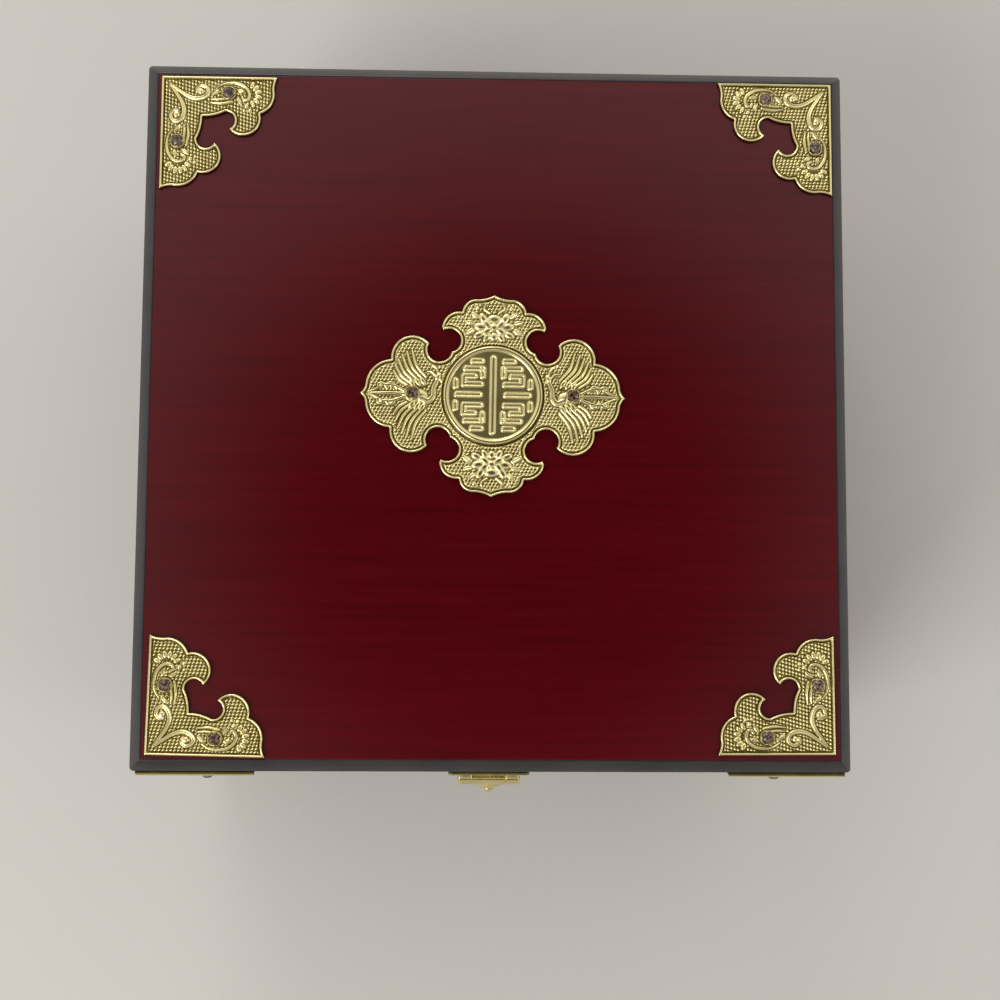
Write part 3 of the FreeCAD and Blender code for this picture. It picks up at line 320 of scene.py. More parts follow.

# %% [markdown]
# ## Brass
# The fittings are stamped sheet brass, polished and lacquered. Their hollows stay duller, since
# the polishing wheel only reaches what stands up, and are also painted far darker as painted shade
# between the raised forms. Each fitting carries an attribute, relief, that is low in its hollows
# and high on its ridges, and the finish mixes a bright brass and a darker, duller one by it.

# %% Worn brass
def worn_brass(name, bright, dull_and_shaded, rough, stamped):
    """Stamped brass is duller in its hollows, where the relief attribute is low, and darker there
    as painted shade. Plain brass has no such attribute, and is duller in soft clouds."""
    finish = Finish(name)
    cloud = finish.noise(finish.place, 160, 4.0)
    scratch = finish.noise(finish.stretched((300, 2200, 900), (0.3, 0.2, 0.5)), 1.0, 3.0)
    if stamped:
        relief = finish.node("ShaderNodeAttribute")
        relief.attribute_name = "relief"
        # Painted shade: where the relief is low the colour goes to the dark brass, where it is high to the
        # bright one.
        share = finish.between(relief.outputs["Fac"], 0.0, 1.0, 0.32, 1.1)
    else:
        share = finish.between(finish.noise(finish.place, 50, 3.0), 0.55, 0.95, 0.35, 0.65)
    share = finish.sum_of(share, finish.between(cloud, -0.08, 0.08, 0.3, 0.7))
    colour = finish.mixed(share, dull_and_shaded, bright)
    return finish.dress(
        Base_Color=colour,
        Metallic=1.0,
        Roughness=finish.between(share, rough + 0.14, rough),
        Normal=finish.bumps(scratch, 0.000006),
    )


# The darker brass is much darker than tarnish alone: it is painted shade for the hollows of stamped plates.
BRIGHT_BRASS, DULL_AND_SHADED_BRASS = (0.90, 0.78, 0.38), (0.125, 0.094, 0.022)
brass = worn_brass("stamped_brass", BRIGHT_BRASS, DULL_AND_SHADED_BRASS, 0.2, True)
plain_brass = worn_brass("plain_brass", BRIGHT_BRASS, DULL_AND_SHADED_BRASS, 0.24, False)
BRASS_NODES = [r["node"] for r in frame["record"]["subparts"] if r["material_slot"] == "brass"]
put_on(plain_brass, *BRASS_NODES)
print("plain brass on", len(BRASS_NODES), "nodes")

# %% [markdown]
# ## Surfaces from arrays
# A shape here is a grid of points worked out with numpy, all at once. One helper turns rows of
# points into faces, and one puts points and faces into a mesh that rides on a body of the box.


# %% From arrays to pieces
def grid_faces(rows, columns, round_rows=False, round_columns=False):
    """Four-cornered faces between neighbouring points of a grid, numbered row by row."""
    row = np.arange(rows if round_rows else rows - 1)
    column = np.arange(columns if round_columns else columns - 1)
    r, c = (a.ravel() for a in np.meshgrid(row, column, indexing="ij"))
    r2, c2 = (r + 1) % rows, (c + 1) % columns
    return np.stack([r * columns + c, r2 * columns + c, r2 * columns + c2, r * columns + c2], axis=1)


def mesh_of(name, points, faces, smooth=True):
    """A mesh from an array of points and an array, or a list of arrays, of faces."""
    groups = faces if isinstance(faces, list) else [faces]
    mesh = bpy.data.meshes.new(name)
    sizes = np.concatenate([np.full(len(f), f.shape[1]) for f in groups])
    loops = np.concatenate([f.ravel() for f in groups])
    mesh.vertices.add(len(points))
    mesh.vertices.foreach_set("co", np.asarray(points, np.float32).ravel())
    mesh.loops.add(len(loops))
    mesh.loops.foreach_set("vertex_index", loops.astype(np.int32))
    mesh.polygons.add(len(sizes))
    mesh.polygons.foreach_set("loop_start", np.concatenate([[0], np.cumsum(sizes)[:-1]]).astype(np.int32))
    mesh.polygons.foreach_set("use_smooth", np.full(len(sizes), smooth))
    mesh.update(calc_edges=True)
    mesh.validate()
    return mesh


def add_piece(mesh, finish, body, slot, *stands_for):
    """Puts a mesh in the scene as a piece that rides on a body and stands for CAD nodes."""
    mesh.materials.clear()
    mesh.materials.append(finish)
    piece = bpy.data.objects.new(mesh.name, mesh)
    bpy.context.scene.collection.objects.link(piece)
    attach(piece, body)
    if stands_for:
        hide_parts(*stands_for)
    return piece


def set_attribute(mesh, name, values):
    mesh.attributes.new(name, "FLOAT", "POINT").data.foreach_set("value", np.asarray(values, np.float32))


def joined(*meshes):
    """Several (points, faces) pairs as one, where faces may be a list of arrays."""
    points, faces, start = [], [], 0
    for some, around in meshes:
        points.append(some)
        faces += [group + start for group in (around if isinstance(around, list) else [around])]
        start += len(some)
    return np.concatenate(points), faces


def closed_tube(rings):
    """Points and faces of rings in a row, closed at each end to the middle of its ring."""
    rows, count = rings.shape[:2]
    loop = np.arange(count)
    after = (loop + 1) % count
    last_row, foot, top = (rows - 1) * count, rows * count, rows * count + 1
    first = np.stack([loop * 0 + foot, loop, after], axis=1)
    last = np.stack([loop * 0 + top, last_row + after, last_row + loop], axis=1)
    points = np.concatenate([rings.reshape(-1, 3), rings[[0, -1]].mean(1)])
    return points, [grid_faces(rows, count, False, True), np.concatenate([first, last])]


def closed_mesh(name, points, faces, sharp_from=None, smooth=True):
    """A closed mesh from points in millimetres, with all its faces turned outwards. Smooth
    shading stops at edges between faces that meet at more than sharp_from degrees."""
    mesh = mesh_of(name, points * MM, faces, smooth)
    shell = bmesh.new()
    shell.from_mesh(mesh)
    bmesh.ops.recalc_face_normals(shell, faces=shell.faces)
    shell.to_mesh(mesh)
    shell.free()
    if sharp_from is not None:
        mesh.set_sharp_from_angle(angle=math.radians(sharp_from))
    return mesh


print("array helpers ready")

# %% [markdown]
# ## Relief for stamped brass
# The ornaments are thin brass sheet pressed into a die. Each one is a height above the wood for
# every point inside an outline: a beaded ground, a raised rim that follows the outline, and
# scrolls, petals and feathers standing on it. All of it is drawn in millimetres. The outline is
# a chain of arcs. A point's distance to it gives the rim, and tells inside from outside.


# %% Outlines and distances
def arc_points(start, through, end, count=22):
    """Points on the circle through three points, from the first one to the last one."""
    (ax, ay), (bx, by), (cx, cy) = start, through, end
    d = 2 * (ax * (by - cy) + bx * (cy - ay) + cx * (ay - by))
    a2, b2, c2 = ax * ax + ay * ay, bx * bx + by * by, cx * cx + cy * cy
    ux = (a2 * (by - cy) + b2 * (cy - ay) + c2 * (ay - by)) / d
    uy = (a2 * (cx - bx) + b2 * (ax - cx) + c2 * (bx - ax)) / d
    first, last = math.atan2(ay - uy, ax - ux), math.atan2(cy - uy, cx - ux)
    middle = math.atan2(by - uy, bx - ux)
    sweep = (last - first) % math.tau
    if (middle - first) % math.tau > sweep:
        sweep -= math.tau
    angle = first + sweep * np.arange(1, count + 1) / count
    radius = math.hypot(ax - ux, ay - uy)
    return np.stack([ux + radius * np.cos(angle), uy + radius * np.sin(angle)], axis=1)


def chain(start, steps, wide, deep):
    """Points along arcs and straight lines, from shares of a width and a depth."""
    scale = np.array([wide, deep])
    at, line = np.array(start) * scale, [np.array([start]) * scale]
    for through, end in steps:
        end = np.array(end) * scale
        if through is None:
            share = np.arange(1, 41)[:, None] / 40
            line.append(at + (end - at) * share)
        else:
            line.append(arc_points(at, np.array(through) * scale, end))
        at = end
    return np.concatenate(line)


def nearest_on(points, line, closed=False):
    """Each point's distance to a line of points, the foot of it, and the foot's share of the
    line's length. On every run the foot is the perpendicular's, kept between the run's ends."""
    ends = np.roll(line, -1, axis=0) if closed else line[1:]
    starts = line if closed else line[:-1]
    runs = np.linalg.norm(ends - starts, axis=1)
    before = np.concatenate([[0], np.cumsum(runs)])
    best = np.full(len(points), np.inf)
    foot, share = np.zeros((len(points), 2)), np.zeros(len(points))
    for a, b, run, sofar in zip(starts, ends, runs, before):
        if run < 1e-9:
            continue
        along = np.clip((points - a) @ (b - a) / run**2, 0, 1)
        at = a + along[:, None] * (b - a)
        far = ((points - at) ** 2).sum(1)
        near = far < best
        best[near], foot[near] = far[near], at[near]
        share[near] = (sofar + along[near] * run) / before[-1]
    return np.sqrt(best), foot, share


def inside(points, outline):
    """True where a ray to the right crosses the outline an odd number of times."""
    a, b = outline, np.roll(outline, -1, axis=0)
    odd = np.zeros(len(points), bool)
    x, y = points.T
    for (x1, y1), (x2, y2) in zip(a, b):
        if y1 != y2:
            odd ^= ((y1 > y) != (y2 > y)) & (x < (x2 - x1) * (y - y1) / (y2 - y1) + x1)
    return odd


print("outline helpers ready")

# %% [markdown]
# The relief itself is built up by strokes. A stroke is a ridge with a round top along a smooth
# line, a petal is a dome between a root and a tip with a vein down its middle, and beads are small
# domes on a square pitch. Each one only raises the points near it, and clears the beads around.


# %% Strokes, petals and beads
class Relief:
    """Heights in millimetres over points in the plane, and a mask of where beads may stand."""

    def __init__(self, points):
        self.points = points
        self.height = np.zeros(len(points))
        self.bare = np.ones(len(points))

    def raise_to(self, where, rise, clear):
        """The higher of what stands there and the new form; beads fade within reach of it."""
        self.height[where] = np.maximum(self.height[where], rise)
        self.bare[where] = np.minimum(self.bare[where], clear)

    def near(self, low, high, reach):
        x, y = self.points.T
        return np.flatnonzero(
            (x > low[0] - reach) & (x < high[0] + reach) & (y > low[1] - reach) & (y < high[1] + reach)
        )

    def stroke(self, line, width, rise, taper=(1.0, 1.0), hollow=0.0):
        """A ridge along a line: rise times the root of one minus the squared share of its width.
        A hollow down its middle makes it a strap with two raised edges."""
        line = smooth_line(line)
        where = self.near(line.min(0), line.max(0), width + 0.6)
        far, _, share = nearest_on(self.points[where], line)
        wide = width * np.interp(share, [0, 0.5, 1], [taper[0], 1, taper[1]])
        form = rise * np.sqrt(np.clip(1 - (far / wide) ** 2, 0, 1)) * (0.4 + 0.6 * wide / width)
        form = form * (1 - hollow * np.exp(-((far / (0.45 * wide)) ** 2)))
        self.raise_to(where, form, np.clip((far - wide - 0.2) / 0.3, 0, 1))

    def petal(self, root, tip, width, rise, vein=0.0, bend=0.0):
        """A dome over a leaf form: as wide as a sine of the share from root to tip, with a
        vein pressed down its middle."""
        root, tip = np.array(root), np.array(tip)
        along = tip - root
        length = np.linalg.norm(along)
        along = along / length
        side = np.array([-along[1], along[0]])
        where = self.near(np.minimum(root, tip), np.maximum(root, tip), width + 0.6 + abs(bend))
        away = self.points[where] - root
        t = away @ along / length
        across = away @ side - bend * np.sin(np.pi * np.clip(t, 0, 1))
        wide = width * np.sin(np.pi * np.clip(t, 0, 1) ** 0.8) ** 0.7 + 1e-6
        inside_it = (t > 0) & (t < 1)
        share = np.abs(across) / wide
        form = np.where(inside_it, np.clip(1 - share**2, 0, 1) ** 0.5, 0)
        form = form * (1 - vein * np.exp(-((across / (0.22 * width)) ** 2)))
        gap = np.where(inside_it, (share - 1) * wide, 1.0)
        self.raise_to(where, rise * form, np.clip(gap / 0.35, 0, 1))

    def oval(self, centre, long, wide, degrees, rise, cup=0.3):
        """A petal seen from above: half an ellipsoid whose middle is pressed in a little."""
        centre = np.array(centre)
        cosine, sine = math.cos(math.radians(degrees)), math.sin(math.radians(degrees))
        where = self.near(centre, centre, long + 0.6)
        x, y = (self.points[where] - centre).T
        share = np.hypot((x * cosine + y * sine) / long, (y * cosine - x * sine) / wide)
        form = rise * np.sqrt(np.clip(1 - share**2, 0, 1)) * (1 - cup * np.exp(-((share / 0.5) ** 2)))
        self.raise_to(where, form, np.clip(((share - 1) * wide - 0.15) / 0.3, 0, 1))

    def dome(self, centre, radius, rise):
        centre = np.array(centre)
        where = self.near(centre, centre, radius + 0.6)
        far = np.linalg.norm(self.points[where] - centre, axis=1)
        form = rise * np.sqrt(np.clip(1 - (far / radius) ** 2, 0, 1))
        self.raise_to(where, form, np.clip((far - radius) / 0.3, 0, 1))

    def mirrored(self, fold):
        """A relief over the folded points, whose forms count on both sides of the fold."""
        return Relief(fold(self.points))

    def take(self, other):
        self.height = np.maximum(self.height, other.height)
        self.bare = np.minimum(self.bare, other.bare)


def smooth_line(points, count=9):
    """A smooth line through points: between two of them, the cubic whose slope at each end is
    half the step from the point before to the point after."""
    p = np.array(points, float)
    if len(p) < 3:
        return p
    before = np.vstack([2 * p[0] - p[1], p, 2 * p[-1] - p[-2]])
    t = (np.arange(count) / count)[:, None, None]
    p0, p1, p2, p3 = before[:-3], before[1:-2], before[2:-1], before[3:]
    cubic = 0.5 * (
        2 * p1 + (p2 - p0) * t + (2 * p0 - 5 * p1 + 4 * p2 - p3) * t**2 + (3 * p1 - p0 - 3 * p2 + p3) * t**3
    )
    return np.vstack([cubic.transpose(1, 0, 2).reshape(-1, 2), p[-1:]])


def beads(points, pitch, rise, lean):
    """Small domes on a lattice. Each row is moved sideways by lean times its height, which also
    draws the domes out along a slant."""
    x, y = points.T
    dx = ((x - lean * y) / pitch[0]) % 1 - 0.5
    dy = (y / pitch[1]) % 1 - 0.5
    return rise * np.sqrt(np.clip(1 - (np.hypot(dx, dy) / 0.41) ** 2, 0, 1))


print("relief forms ready")

# %% [markdown]
# A plate needs a clean edge and a closed shape. The cells of a fine grid that reach inside the
# outline are kept, and their points outside are moved onto it, so the edge is smooth though the
# grid is square. The walls and the back come from Blender's own extrude and fill. Each plate also
# gets its relief attribute here, from the height of every point above the ground.


# %% From a relief to a closed plate
SHINE_RISE, GROUND_SHINE = 0.6, 0.3


def relief_plate(name, outline, step, height_of, edge_height, hole=None, polish=0.0):
    """A plate whose top is a grid of heights. Cells that reach inside the outline are kept, and
    their points outside move to the nearest place on it. Walls go down from the edge to the wood."""
    low, high = outline.min(0) - step, outline.max(0) + step
    count = np.ceil((high - low) / step).astype(int) + 1
    x, y = np.meshgrid(low[0] + step * np.arange(count[0]), low[1] + step * np.arange(count[1]))
    points = np.stack([x.ravel(), y.ravel()], axis=1)
    far, foot, _ = nearest_on(points, outline, closed=True)
    within = inside(points, outline)
    depth = np.where(within, far, -far)
    if hole is not None:
        centre, radius = np.array(hole[0]), hole[1]
        out = points - centre
        away = np.linalg.norm(out, axis=1)
        nearer = (away - radius) < depth
        depth = np.where(nearer, away - radius, depth)
        foot = np.where(nearer[:, None], centre + out / np.maximum(away, 1e-6)[:, None] * radius, foot)
    cells = grid_faces(count[1], count[0])
    solid = depth > 0.25 * step
    cells = cells[solid[cells].any(1)]
    points = np.where(solid[:, None], points, foot)
    used, cells = np.unique(cells, return_inverse=True)
    cells = cells.reshape(-1, 4)
    points, depth, solid = points[used], depth[used], solid[used]
    height = np.where(solid, height_of(points, np.maximum(depth, 0)), edge_height)
    mesh = mesh_of(name, np.column_stack([points, height]), cells)
    # Painted shade: this attribute, from each point's height, darkens the brass in the hollows.
    set_attribute(mesh, "relief", (height - edge_height) / SHINE_RISE + GROUND_SHINE + polish)
    shell = bmesh.new()
    shell.from_mesh(mesh)
    rim = [edge for edge in shell.edges if edge.is_boundary]
    walls = bmesh.ops.extrude_edge_only(shell, edges=rim)
    low_points = [item for item in walls["geom"] if isinstance(item, bmesh.types.BMVert)]
    bmesh.ops.translate(shell, verts=low_points, vec=(0, 0, -edge_height))
    bmesh.ops.holes_fill(shell, edges=[edge for edge in shell.edges if edge.is_boundary])
    bmesh.ops.recalc_face_normals(shell, faces=shell.faces)
    shell.to_mesh(mesh)
    shell.free()
    return mesh


def frame_at(origin, along, across, outwards):
    """The matrix that takes millimetres in a plate's own axes to metres on the box."""
    axes = Matrix((along, across, outwards)).transposed() * MM
    return Matrix.Translation(Vector(origin) * MM) @ axes.to_4x4()


def add_plate(mesh, name, matrix, body, node):
    """Puts a copy of a stamped plate, drawn in millimetres, in its place as a brass piece."""
    copy = mesh.copy()
    copy.name = name
    copy.transform(matrix)
    add_piece(copy, brass, body, "brass", node)


print("plates ready")

# %% [markdown]
# ## Corner ornaments
# Each corner ornament is stamped brass: a raised rim, a beaded ground, and the same scrollwork on
# both legs. A stem leaves the corner and curls into a volute, a long double leaf runs along the
# inner edge, and a loop like a drop runs round the far side of the stone to a bunch of petals.
# One leg is drawn, and the fold over the diagonal draws the other. The same plate is used on the
# lid, on the lid's front and on the drawer.

# %% Corner ornaments
LEG = 41.0
CORNER_HALF = [
    ((0.978, 0.059), (0.973, 0.122)),
    ((0.949, 0.251), (0.854, 0.327)),
    ((0.813, 0.479), (0.585, 0.463)),
    ((0.634, 0.380), (0.551, 0.310)),
    ((0.454, 0.346), (0.356, 0.356)),
]
STONE_AT = (23.8, 6.1)
RIM, GROUND, RIM_RISE = 0.9, 1.0, 0.62
half = chain((1.0, 0.0), CORNER_HALF, LEG, LEG)
RUNS = 160
share = np.arange(1, RUNS)[:, None] / RUNS
down_one_leg = np.array([[0.0, LEG]]) * (1 - share)
along_the_other = np.array([[LEG, 0.0]]) * (share - 1 / RUNS)
corner_outline = np.concatenate([half, half[-2::-1, ::-1], down_one_leg, along_the_other])


def rim_height(depth, groove=0.45):
    """A round-topped rim along the outline, then a groove, then the ground."""
    rim = RIM_RISE * np.sqrt(np.clip(1 - ((depth - RIM / 2) / (RIM / 2)) ** 2, 0, 1))
    hollow = 0.18 * np.exp(-(((depth - RIM - groove / 2) / (groove / 2)) ** 2))
    return rim - hollow


def stamped(relief, depth, ground, margin, pattern, rim_share=1.0):
    """The height of a plate: its ground, beads on it where nothing else stands and at least a
    margin inside the rim, the relief, and the rim."""
    open_ground = relief.bare * np.clip((depth - RIM - margin) / 0.3, 0, 1)
    beaded = ground + beads(relief.points, *pattern) * open_ground
    rim = rim_share * rim_height(depth) * (depth < RIM + 0.5)
    return np.maximum(beaded, ground + relief.height) + rim


def draw_corner_leg(relief):
    stem = [(3.1, 3.0), (6.3, 5.3), (9.3, 7.2), (12.2, 8.1), (14.9, 7.6), (16.5, 5.9), (16.0, 4.1),
            (14.1, 3.4), (12.6, 4.4), (12.5, 5.7)]
    relief.stroke(stem, 0.85, 0.72, (0.6, 0.7), 0.5)
    relief.dome((13.9, 5.4), 1.15, 0.7)
    relief.stroke([(25.0, 9.1), (21.2, 9.8), (17.3, 9.5)], 0.55, 0.65, (0.9, 0.4))
    relief.stroke([(22.2, 8.2), (20.0, 8.4), (17.6, 8.2)], 0.5, 0.6, (0.9, 0.4))
    relief.petal((17.7, 7.0), (20.4, 4.6), 0.7, 0.55, 0.3)
    loop = [(19.4, 4.2), (21.6, 2.8), (24.6, 2.3), (27.6, 2.7), (30.0, 4.2), (31.0, 6.2), (30.6, 8.1),
            (29.2, 8.6), (28.5, 7.5)]
    relief.stroke(loop, 0.62, 0.7, (0.4, 0.8), 0.35)
    relief.petal((26.8, 5.0), (29.6, 5.4), 0.85, 0.5, 0.3)
    relief.petal((26.6, 7.6), (28.4, 10.2), 0.8, 0.5, 0.3)
    for angle in (-66, -40, -14, 12, 38, 64):
        out = np.array((math.cos(math.radians(angle)), math.sin(math.radians(angle))))
        relief.oval((30.5, 6.4) + 3.75 * out, 1.45, 0.78, angle, 0.85, 0.25)
    for at, radius in (((30.0, 10.6), 0.8), ((31.3, 12.1), 0.7), ((29.2, 12.3), 0.6)):
        relief.dome(at, radius, 0.6)


def corner_height(points, depth):
    """Ground, beads and rim, with the scrollwork of one leg counted on both."""
    relief = Relief(points)
    leg = relief.mirrored(lambda p: np.column_stack([p.max(1), p.min(1)]))
    draw_corner_leg(leg)
    leg.dome(STONE_AT, 2.75, 0.35)
    relief.take(leg)
    return stamped(relief, depth, GROUND, 0.35, ((1.3, 1.15), 0.5, 0.3))


corner_mesh = relief_plate("corner", corner_outline, 0.17, corner_height, GROUND)
print("one corner has", len(corner_mesh.polygons), "faces")
INSET = 4.5
# Each one: its side and end of the lid, how much further it is set in along X and along Y, and
# how many degrees it sits askew, since they were set by hand.
LID_CORNERS = {
    "front_left": (-1, -1, 1.2, 1.1, -1.2),
    "front_right": (1, -1, 1.6, 1.7, 0.3),
    "back_right": (1, 1, 0.0, 0.1, 0.0),
    "back_left": (-1, 1, 1.05, 0.8, 0.0),
}
lid_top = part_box("lid_top_panel")[1].z / MM
lid_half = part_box("lid_edge_front")[1].x / MM


def on_lid(x, y, degrees):
    """Millimetres on the lid's top, turned by an angle."""
    cosine, sine = math.cos(math.radians(degrees)), math.sin(math.radians(degrees))
    return frame_at((x, y, lid_top), (cosine, sine, 0), (-sine, cosine, 0), (0, 0, 1))


corner_frames = {}
for quarter, (name, (hand, way, in_x, in_y, askew)) in enumerate(LID_CORNERS.items()):
    x, y = hand * (lid_half - INSET - in_x), way * (lid_half - INSET - in_y)
    corner_frames[f"lid_corner_{name}"] = on_lid(x, y, 90 * quarter + askew)
for name, matrix in corner_frames.items():
    add_plate(corner_mesh, f"{name}_relief", matrix, "lid", name)
print("lid corners:", len(corner_frames))

# %% [markdown]
# ## The medallion
# The plate in the middle of the lid is a cross-shaped cartouche. Its side arms each carry a bird
# with spread wings and a long tail, and its upper and lower arms a peony between leaves. The left
# arm mirrors the right one, and the lower arm mirrors the upper one, so only one of each is drawn.
# The disc lies on the middle, so the plate has a round hole under it and saves faces there.

# %% Medallion plate
MEDALLION_WIDE, MEDALLION_DEEP = 93.3, 71.6
MEDALLION_SPOT = (-0.8, 5.8, -0.7)
MEDALLION_STONE = (28.2, 0.3)
HOLE_RADIUS, BARE_RADIUS = 16.6, 18.0
QUARTER = [
    ((0.973, 0.036), (0.958, 0.092)),
    ((0.900, 0.260), (0.770, 0.338)),
    ((0.643, 0.573), (0.484, 0.506)),
    ((0.420, 0.327), (0.317, 0.425)),
    ((0.253, 0.575), (0.382, 0.634)),
    (None, (0.394, 0.670)),
    ((0.360, 0.771), (0.244, 0.827)),
    ((0.212, 0.913), (0.139, 0.955)),
    ((0.069, 0.964), (0.0, 1.0)),
]
quarter_line = chain((1.0, 0.0), QUARTER, MEDALLION_WIDE / 2, MEDALLION_DEEP / 2)
half_line = np.concatenate([quarter_line, quarter_line[-2::-1] * (-1, 1)])
medallion_outline = np.concatenate([half_line, -half_line[1:-1]])


def fan(relief, roots, tips, width, rise, bow):
    """Feathers side by side, each one bowed a little away from the straight line."""
    for root, tip in zip(np.linspace(*roots, len(tips)), np.array(tips)):
        middle = (root + tip) / 2 + bow * np.array([-(tip - root)[1], (tip - root)[0]])
        relief.stroke([root, middle, tip], width, rise, (0.8, 0.55))


def both_halves(points):
    """Points of the left half, folded over onto the right half."""
    return np.column_stack([np.abs(points[:, 0]), points[:, 1]])


def draw_bird(relief):
    up_tips = [(28.6, 15.4), (30.4, 14.9), (32.0, 13.8), (33.4, 12.2), (34.4, 10.2), (34.9, 8.0)]
    down_tips = [(28.2, -16.0), (30.0, -15.3), (31.6, -13.9), (33.0, -12.0), (34.0, -9.7), (34.6, -7.2)]
    fan(relief, ((23.6, 6.0), (30.2, 3.2)), up_tips, 0.62, 0.72, -0.1)
    fan(relief, ((23.4, -5.8), (30.2, -3.0)), down_tips, 0.62, 0.72, 0.1)
    for x, y in ((24.6, 4.6), (26.4, 4.2), (28.2, 3.5)):
        relief.oval((x, y), 1.9, 0.85, 58, 0.85, 0.2)
        relief.oval((x, -y), 1.9, 0.85, -58, 0.85, 0.2)
    relief.oval((26.6, -0.4), 3.9, 2.3, 0, 0.75, 0.0)
    neck = [(25.0, -1.6), (22.6, -2.4), (20.9, -0.6), (20.7, 2.2), (19.6, 4.8)]
    relief.stroke(neck, 1.05, 0.85, (1.2, 0.75), 0.3)
    relief.oval((19.3, 6.3), 1.7, 1.05, 118, 0.95, 0.1)
    relief.petal((18.8, 6.0), (17.9, 4.0), 0.45, 0.7)
    relief.stroke([(19.4, 7.4), (20.0, 9.2), (21.6, 10.2)], 0.42, 0.6, (0.9, 0.5))
    relief.stroke([(20.2, 6.4), (21.6, 7.8), (23.2, 8.0)], 0.42, 0.6, (0.9, 0.5))
    for y, bow in ((1.9, 1.3), (0.2, 0.0), (-1.5, -1.3)):
        tail = [(31.0, 0.6 * y), (34.4, y + 0.6 * bow), (38.2, 0.9 * y + bow), (41.4, 0.7 * y),
                (43.4, 0.3 * y)]
        relief.stroke(tail, 0.55, 0.65, (1.0, 0.5), 0.3)
    for x, y in ((35.8, 3.6), (39.2, 3.4), (36.0, -3.5), (39.4, -3.2)):
        curl = [(x - 2.2, 0.45 * y), (x - 0.9, y), (x + 0.8, y), (x + 1.0, 0.6 * y)]
        relief.stroke(curl, 0.5, 0.6, (0.7, 0.9), 0.3)
        relief.dome((x - 0.1, 0.72 * y), 0.5, 0.5)


def draw_peony(relief):
    relief.oval((0.0, 24.2), 1.9, 1.5, 0, 1.0, 0.1)
    relief.oval((0.0, 20.9), 1.6, 1.45, 90, 0.75, 0.1)
    relief.oval((0.0, 27.2), 2.6, 1.6, 0, 0.85, 0.15)
    for x in (-1, 1):
        for (u, v), long, wide, degrees, rise in (
            ((2.5, 25.3), 2.1, 1.25, 52, 0.95),
            ((2.4, 22.9), 2.1, 1.2, -32, 0.9),
            ((4.7, 24.4), 2.3, 1.35, 8, 0.8),
            ((3.9, 27.4), 2.0, 1.2, 62, 0.8),
            ((2.5, 20.6), 1.7, 1.0, -56, 0.7),
            ((5.4, 21.5), 1.9, 1.05, -24, 0.65),
        ):
            relief.oval((u * x, v), long * 1.08, wide * 1.12, degrees * x, rise, 0.12)
        relief.petal((6.9 * x, 23.5), (10.4 * x, 21.4), 1.05, 0.6, 0.5)
        relief.petal((6.8 * x, 25.4), (10.2 * x, 26.3), 1.0, 0.6, 0.5)
        relief.petal((5.6 * x, 27.6), (8.2 * x, 29.4), 0.95, 0.6, 0.5)
        relief.stroke([(1.6 * x, 29.2), (3.6 * x, 30.8), (3.0 * x, 32.6)], 0.45, 0.5, (0.9, 0.5))
        relief.dome((6.0 * x, 31.0), 0.75, 0.5)


def medallion_height(points, depth):
    """Ground, beads and a double rim, with birds left and right and peonies up and down."""
    relief = Relief(points)
    birds = relief.mirrored(both_halves)
    draw_bird(birds)
    birds.dome(MEDALLION_STONE, 2.9, 0.6)
    relief.take(birds)
    peonies = relief.mirrored(lambda p: np.column_stack([p[:, 0], np.abs(p[:, 1])]))
    draw_peony(peonies)
    relief.take(peonies)
    relief.bare *= np.clip((np.hypot(*points.T) - BARE_RADIUS) / 0.3, 0, 1)
    second_rim = 0.22 * np.exp(-(((depth - RIM - 0.75) / 0.3) ** 2))
    return stamped(relief, depth, GROUND, 0.6, ((1.28, 1.12), 0.42, 0.5)) + second_rim


hole = ((0.0, 0.0), HOLE_RADIUS)
medallion_mesh = relief_plate("medallion", medallion_outline, 0.2, medallion_height, GROUND, hole, 0.03)
medallion_frame = on_lid(*MEDALLION_SPOT)
add_plate(medallion_mesh, "medallion_relief", medallion_frame, "lid", "medallion_plate")
print("medallion faces:", len(medallion_mesh.polygons))

# %% [markdown]
# The disc has a broad rim round a sunk field, and the field is filled with a fret: short straight
# bars with raised edges, round one long bar down the middle. The fret mirrors both ways, so one
# quarter of it is drawn, and the fold over both axes draws the rest.

# %% Medallion disc
DISC_RADIUS, DISC_RISE, DISC_RIM, DISC_SINK = 17.4, 1.6, 2.0, 0.5
FRET = [
    [(4.6, 0.0), (12.6, 0.0)],
    [(4.2, 3.7), (10.2, 3.7), (10.2, 6.5), (6.4, 6.5)],
    [(13.1, 2.9), (13.1, 4.9)],
    [(3.6, 9.2), (9.6, 9.2)],
    [(3.6, 9.2), (3.6, 6.6)],
    [(4.0, 11.9), (7.2, 11.9)],
]
MIDDLE_BAR = [(0.0, -12.9), (0.0, 12.9)]


def bar(relief, line, half_width, width, rise):
    """A flat bar with a raised edge: the edge is a round ridge at half_width from the line."""
    line = np.array(line, float)
    where = relief.near(line.min(0), line.max(0), half_width + width)
    far, _, _ = nearest_on(relief.points[where], line)
    edge = rise * np.sqrt(np.clip(1 - ((far - half_width) / width) ** 2, 0, 1))
    floor = np.where(far < half_width, 0.3 * rise, 0)
    relief.raise_to(where, np.maximum(edge, floor), np.clip((far - half_width - width) / 0.3, 0, 1))


def disc_height(points, depth):
    """A broad rim with a round top and a groove inside it, then the sunk field with its fret."""
    relief = Relief(points)
    fold = relief.mirrored(np.abs)
    for line in FRET:
        bar(fold, line, 0.72, 0.36, 0.5)
    relief.take(fold)
    bar(relief, MIDDLE_BAR, 0.85, 0.36, 0.5)
    field = DISC_RISE - DISC_SINK
    rim = np.clip(depth / 0.5, 0, 1) * np.clip((DISC_RIM - depth) / 0.5, 0, 1)
    rim = np.sin(np.pi / 2 * rim) * DISC_SINK
    crease = 0.16 * np.exp(-(((depth - 1.45) / 0.16) ** 2))
    return np.where(depth < DISC_RIM, field - 0.1 + rim * 1.2 - crease, field + relief.height * 0.9)


